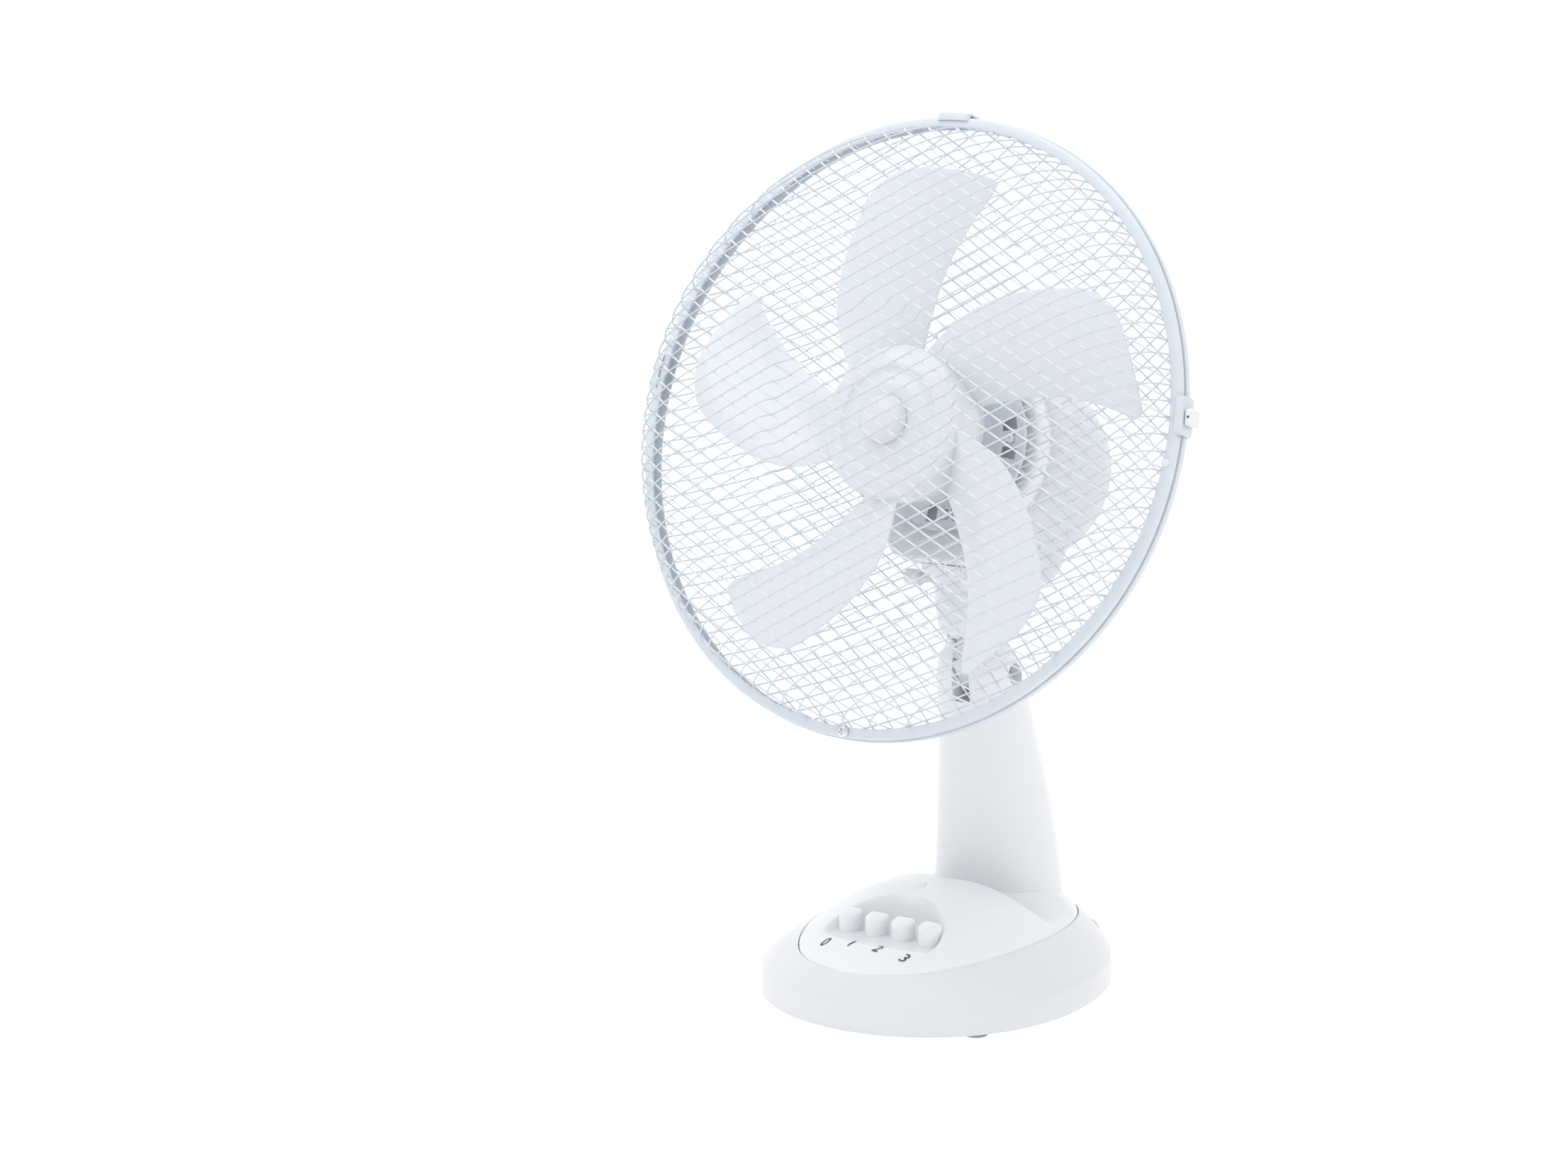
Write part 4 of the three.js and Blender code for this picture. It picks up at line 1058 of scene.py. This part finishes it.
def build_clips():
    """The rim's clips, the latch with its pin, the boss below it and the guard's screw."""
    low, high = local_box("clip_top", HEAD_FRAME)
    outer = high[1]
    seat = REAR_RIM[1][0] + 0.5
    back, front = low[2], high[2]
    outline = rounded([(outer - seat, back), (outer - seat, front), (-4.4, front),
                       (-4.4, front - 1.1), (0.0, front - 1.1), (0.0, back + 1.1),
                       (-4.4, back + 1.1), (-4.4, back)],
                      [1.4, 1.4, 0.5, 0.5, 0.6, 0.6, 0.5, 0.5], 4)
    for name, degrees in CLIPS:
        strip = rim_strip(outline, seat, degrees, 13.0)
        if name == "clip_top":
            bumps = [on_rim(rivet(1.5, 0.7), outer - 0.1, degrees + turn, 2.0)
                     for turn in (-1.6, 1.6)]
            strip = joined(strip, *bumps)
        add(f"{name}_strip", strip, HEAD_FRAME, STEEL, "head", "coated_steel", name)

    latch_frame = HEAD_FRAME @ Matrix.Rotation(math.radians(LATCH_DEG), 4, "Z")
    low, high = local_box("rim_latch", latch_frame)
    tab = soft_box(low, high, 1.6, 4)
    add("rim_latch_tab", tab, latch_frame, WHITE, "latch", "white_plastic", "rim_latch", sharp=50)
    pin = lathe([(0.9, high[2] - 0.3), (0.9, high[2] + 0.08)], 24)
    middle = ((low[0] + high[0]) / 2, (low[1] + high[1]) / 2, 0.0)
    add("rim_latch_pin", moved(pin, middle), latch_frame, DARK_GAP, "latch", "grey_rubber")

    boss = moved(rivet(2.9, 2.0), (FRONT_RIM[1][0] - 5.2, 0, FRONT_RIM[1][2]))
    add("clip_boss", moved(boss, turn=-2.5), HEAD_FRAME, WHITE, "head", "coated_steel")

    low, high = local_box("guard_screw", HEAD_FRAME)
    radius = (high[0] - low[0]) / 2
    middle_y = (low[1] + high[1]) / 2
    head = lathe([(radius, low[2]), (radius, low[2] + 0.9), (radius * 0.9, low[2] + 1.7),
                  (radius * 0.6, high[2] - 0.2), (0.0, high[2])], 48)
    screw = mesh_object("guard_screw_head", moved(head, (0, middle_y, 0)), HEAD_FRAME)
    for turn in (0, 90):
        blade = soft_box((-2.4, -0.45, high[2] - 1.3), (2.4, 0.45, high[2] + 2), 0.1, 1)
        cut_away(screw, moved(moved(blade, turn=turn + 20), (0, middle_y, 0)), HEAD_FRAME)
    finish_piece(screw, ZINC, "head", "zinc_steel", "guard_screw")


# ---------------------------------------------------------------- rotor
BLADE_COUNT = 5
FIRST_BLADE_DEG = 91.5
# Radius, then the trailing and the leading edge in degrees, before FIRST_BLADE_DEG turns them.
BLADE_SECTIONS = ((50, 52, 3), (65, 47.5, 1.8), (80, 44, 0), (95, 40, -1.4), (110, 35, -3),
                  (125, 30.2, -5), (140, 25.5, -7.5), (153, 21.6, -9.4), (165, 18.5, -11.5),
                  (173, 15.0, -12.4), (181, 11, -12.5))
BLADE_ROOT, BLADE_TIP = 51.0, 181.0


def blade_edge(radius, column):
    return float(np.interp(radius, [row[0] for row in BLADE_SECTIONS],
                           [row[column] for row in BLADE_SECTIONS]))


def blade_tip(t):
    """Radius of the tip: a round corner at the trailing side and a tight one at the leading."""
    trailing = max(0.0, 1 - t / 0.22)
    leading = max(0.0, 1 - (1 - t) / 0.08)
    return BLADE_TIP - 7.0 * trailing ** 2.6 - 2.5 * leading ** 2.2


def blade_point(radius, t):
    trail, lead = blade_edge(radius, 1), blade_edge(radius, 2)
    angle = math.radians(trail + (lead - trail) * t)
    twist = 15 - 4 * ((radius - 50) / 131)
    z = twist * (1 - 2 * t) + 5 * math.sin(math.pi * t)
    return radius * math.cos(angle), radius * math.sin(angle), z


def build_rotor():
    """Five blades, the hub's cup and the spinner's cap."""
    rows, columns = 40, 26
    grid = []
    for row in range(rows + 1):
        across = [column / columns for column in range(columns + 1)]
        grid.append([blade_point(BLADE_ROOT + (blade_tip(t) - BLADE_ROOT) * row / rows, t)
                     for t in across])
    for index in range(BLADE_COUNT):
        form = moved(sheet(grid), turn=FIRST_BLADE_DEG + 360 / BLADE_COUNT * index)
        blade = mesh_object(f"blade_{index + 1}", form, HEAD_FRAME, 60)
        thicken(blade, 2.0, 0.0)
        soften(blade, 0.8, 3, 60)
        blade.data.shade_smooth()
        finish_piece(blade, BLADE, "rotor", "blade_plastic")

    hub = lathe([(51.6, -18.0), (53.4, -18.0), (54.0, -17.2), (54.0, 14.0), (53.4, 16.2),
                 (51.8, 18.2), (49.6, 19.3), (44.0, 20.8), (39.2, 21.8), (38.0, 21.8),
                 (37.0, 21.0), (36.0, 20.6), (30.0, 21.2), (27.6, 22.8), (26.6, 23.1),
                 (18.0, 23.1), (4.4, 23.0)], 128)
    add("hub_cup", hub, HEAD_FRAME, BLADE, "rotor", "blade_plastic", "fan_blade", sharp=50)

    low, high = local_box("spinner", HEAD_FRAME)
    cap = [(high[0], low[2] + 0.1), (high[0], 27.5), (16.4, 29.4), (14.6, 31.6),
           (11.6, 33.2), (7.0, 34.2), (0.0, high[2])]
    add("spinner_cap", lathe(cap, 96), HEAD_FRAME, WHITE, "rotor", "white_plastic", "spinner")


# ---------------------------------------------------------------- stage, light and camera
def build_stage():
    """A floor that curves up behind the fan. It gives off light, so it renders as near white."""
    floor_material = surface_material("pale_floor", (0.16, 0.16, 0.16), (0.15, 0.15, 0.15),
                                      (0.7, 0.85), mottling=2.0, grain=200.0, grain_depth=0.01,
                                      ripple=2.0, ripple_depth=0.01,
                                      Emission_Color=(1.0, 1.0, 1.0, 1.0), Emission_Strength=0.95)
    half, rise, back, bend = 6.0, 5.0, 3.0, 1.5
    profile = [(-half, 0.0), (back - bend, 0.0)]
    for step in range(1, 13):
        turn = math.pi / 2 * step / 12
        profile.append((back - bend + bend * math.sin(turn), bend - bend * math.cos(turn)))
    profile.append((back, rise))
    ground = sheet([[(-half, y, z), (half, y, z)] for y, z in profile])
    floor = mesh_object("floor", ground, Matrix.Rotation(CAMERA_AZIMUTH, 4, "Z"), 60)
    floor.data.materials.append(floor_material)


CAMERA_AZIMUTH = math.radians(33.97)
CAMERA_ELEVATION = math.radians(10.33)
CAMERA_DISTANCE = 2.30
CAMERA_TARGET = BASE_ORIGIN + Vector((0.0, 0.0, 0.300))


def aim(thing, azimuth, elevation, distance):
    """Puts a camera or light at a distance from the target and turns it to face the target."""
    flat = math.cos(elevation)
    back = Vector((math.sin(azimuth) * flat, -math.cos(azimuth) * flat, math.sin(elevation)))
    thing.location = CAMERA_TARGET + back * distance
    thing.rotation_mode = "QUATERNION"
    thing.rotation_quaternion = (-back).to_track_quat("-Z", "Y")


def build_camera():
    data = bpy.data.cameras.new("camera")
    data.sensor_width = 36.0
    data.lens = 75.5
    data.shift_x = -0.0949
    data.shift_y = -0.0084
    camera = scene_object("camera", data)
    aim(camera, CAMERA_AZIMUTH, CAMERA_ELEVATION, CAMERA_DISTANCE)
    bpy.context.scene.camera = camera


def soft_light(name, azimuth, elevation, distance, size, power):
    data = bpy.data.lights.new(name, "AREA")
    data.shape = "DISK"
    data.size = size
    data.energy = power
    aim(scene_object(name, data), math.radians(azimuth), math.radians(elevation), distance)


def build_lights():
    world = bpy.data.worlds.new("studio")
    bpy.context.scene.world = world
    world.use_nodes = True
    background = world.node_tree.nodes["Background"]
    background.inputs["Color"].default_value = (0.985, 0.99, 1.0, 1.0)
    background.inputs["Strength"].default_value = 1.0
    soft_light("key_light", -40, 52, 2.6, 1.6, 10)
    soft_light("fill_light", 95, 30, 2.8, 1.8, 3)
    soft_light("top_light", 20, 85, 2.4, 1.6, 10)
    bpy.context.scene.view_settings.view_transform = "Standard"


paint_cad_nodes()
build_base_shell()
build_cover()
build_keys()
build_digits()
build_pillar()
build_neck()
build_bracket()
build_lock_knob()
build_rear_housing()
build_front_housing()
build_clutch_knob()
build_wires()
build_rims()
build_disc()
build_clips()
build_rotor()
build_stage()
build_camera()
build_lights()
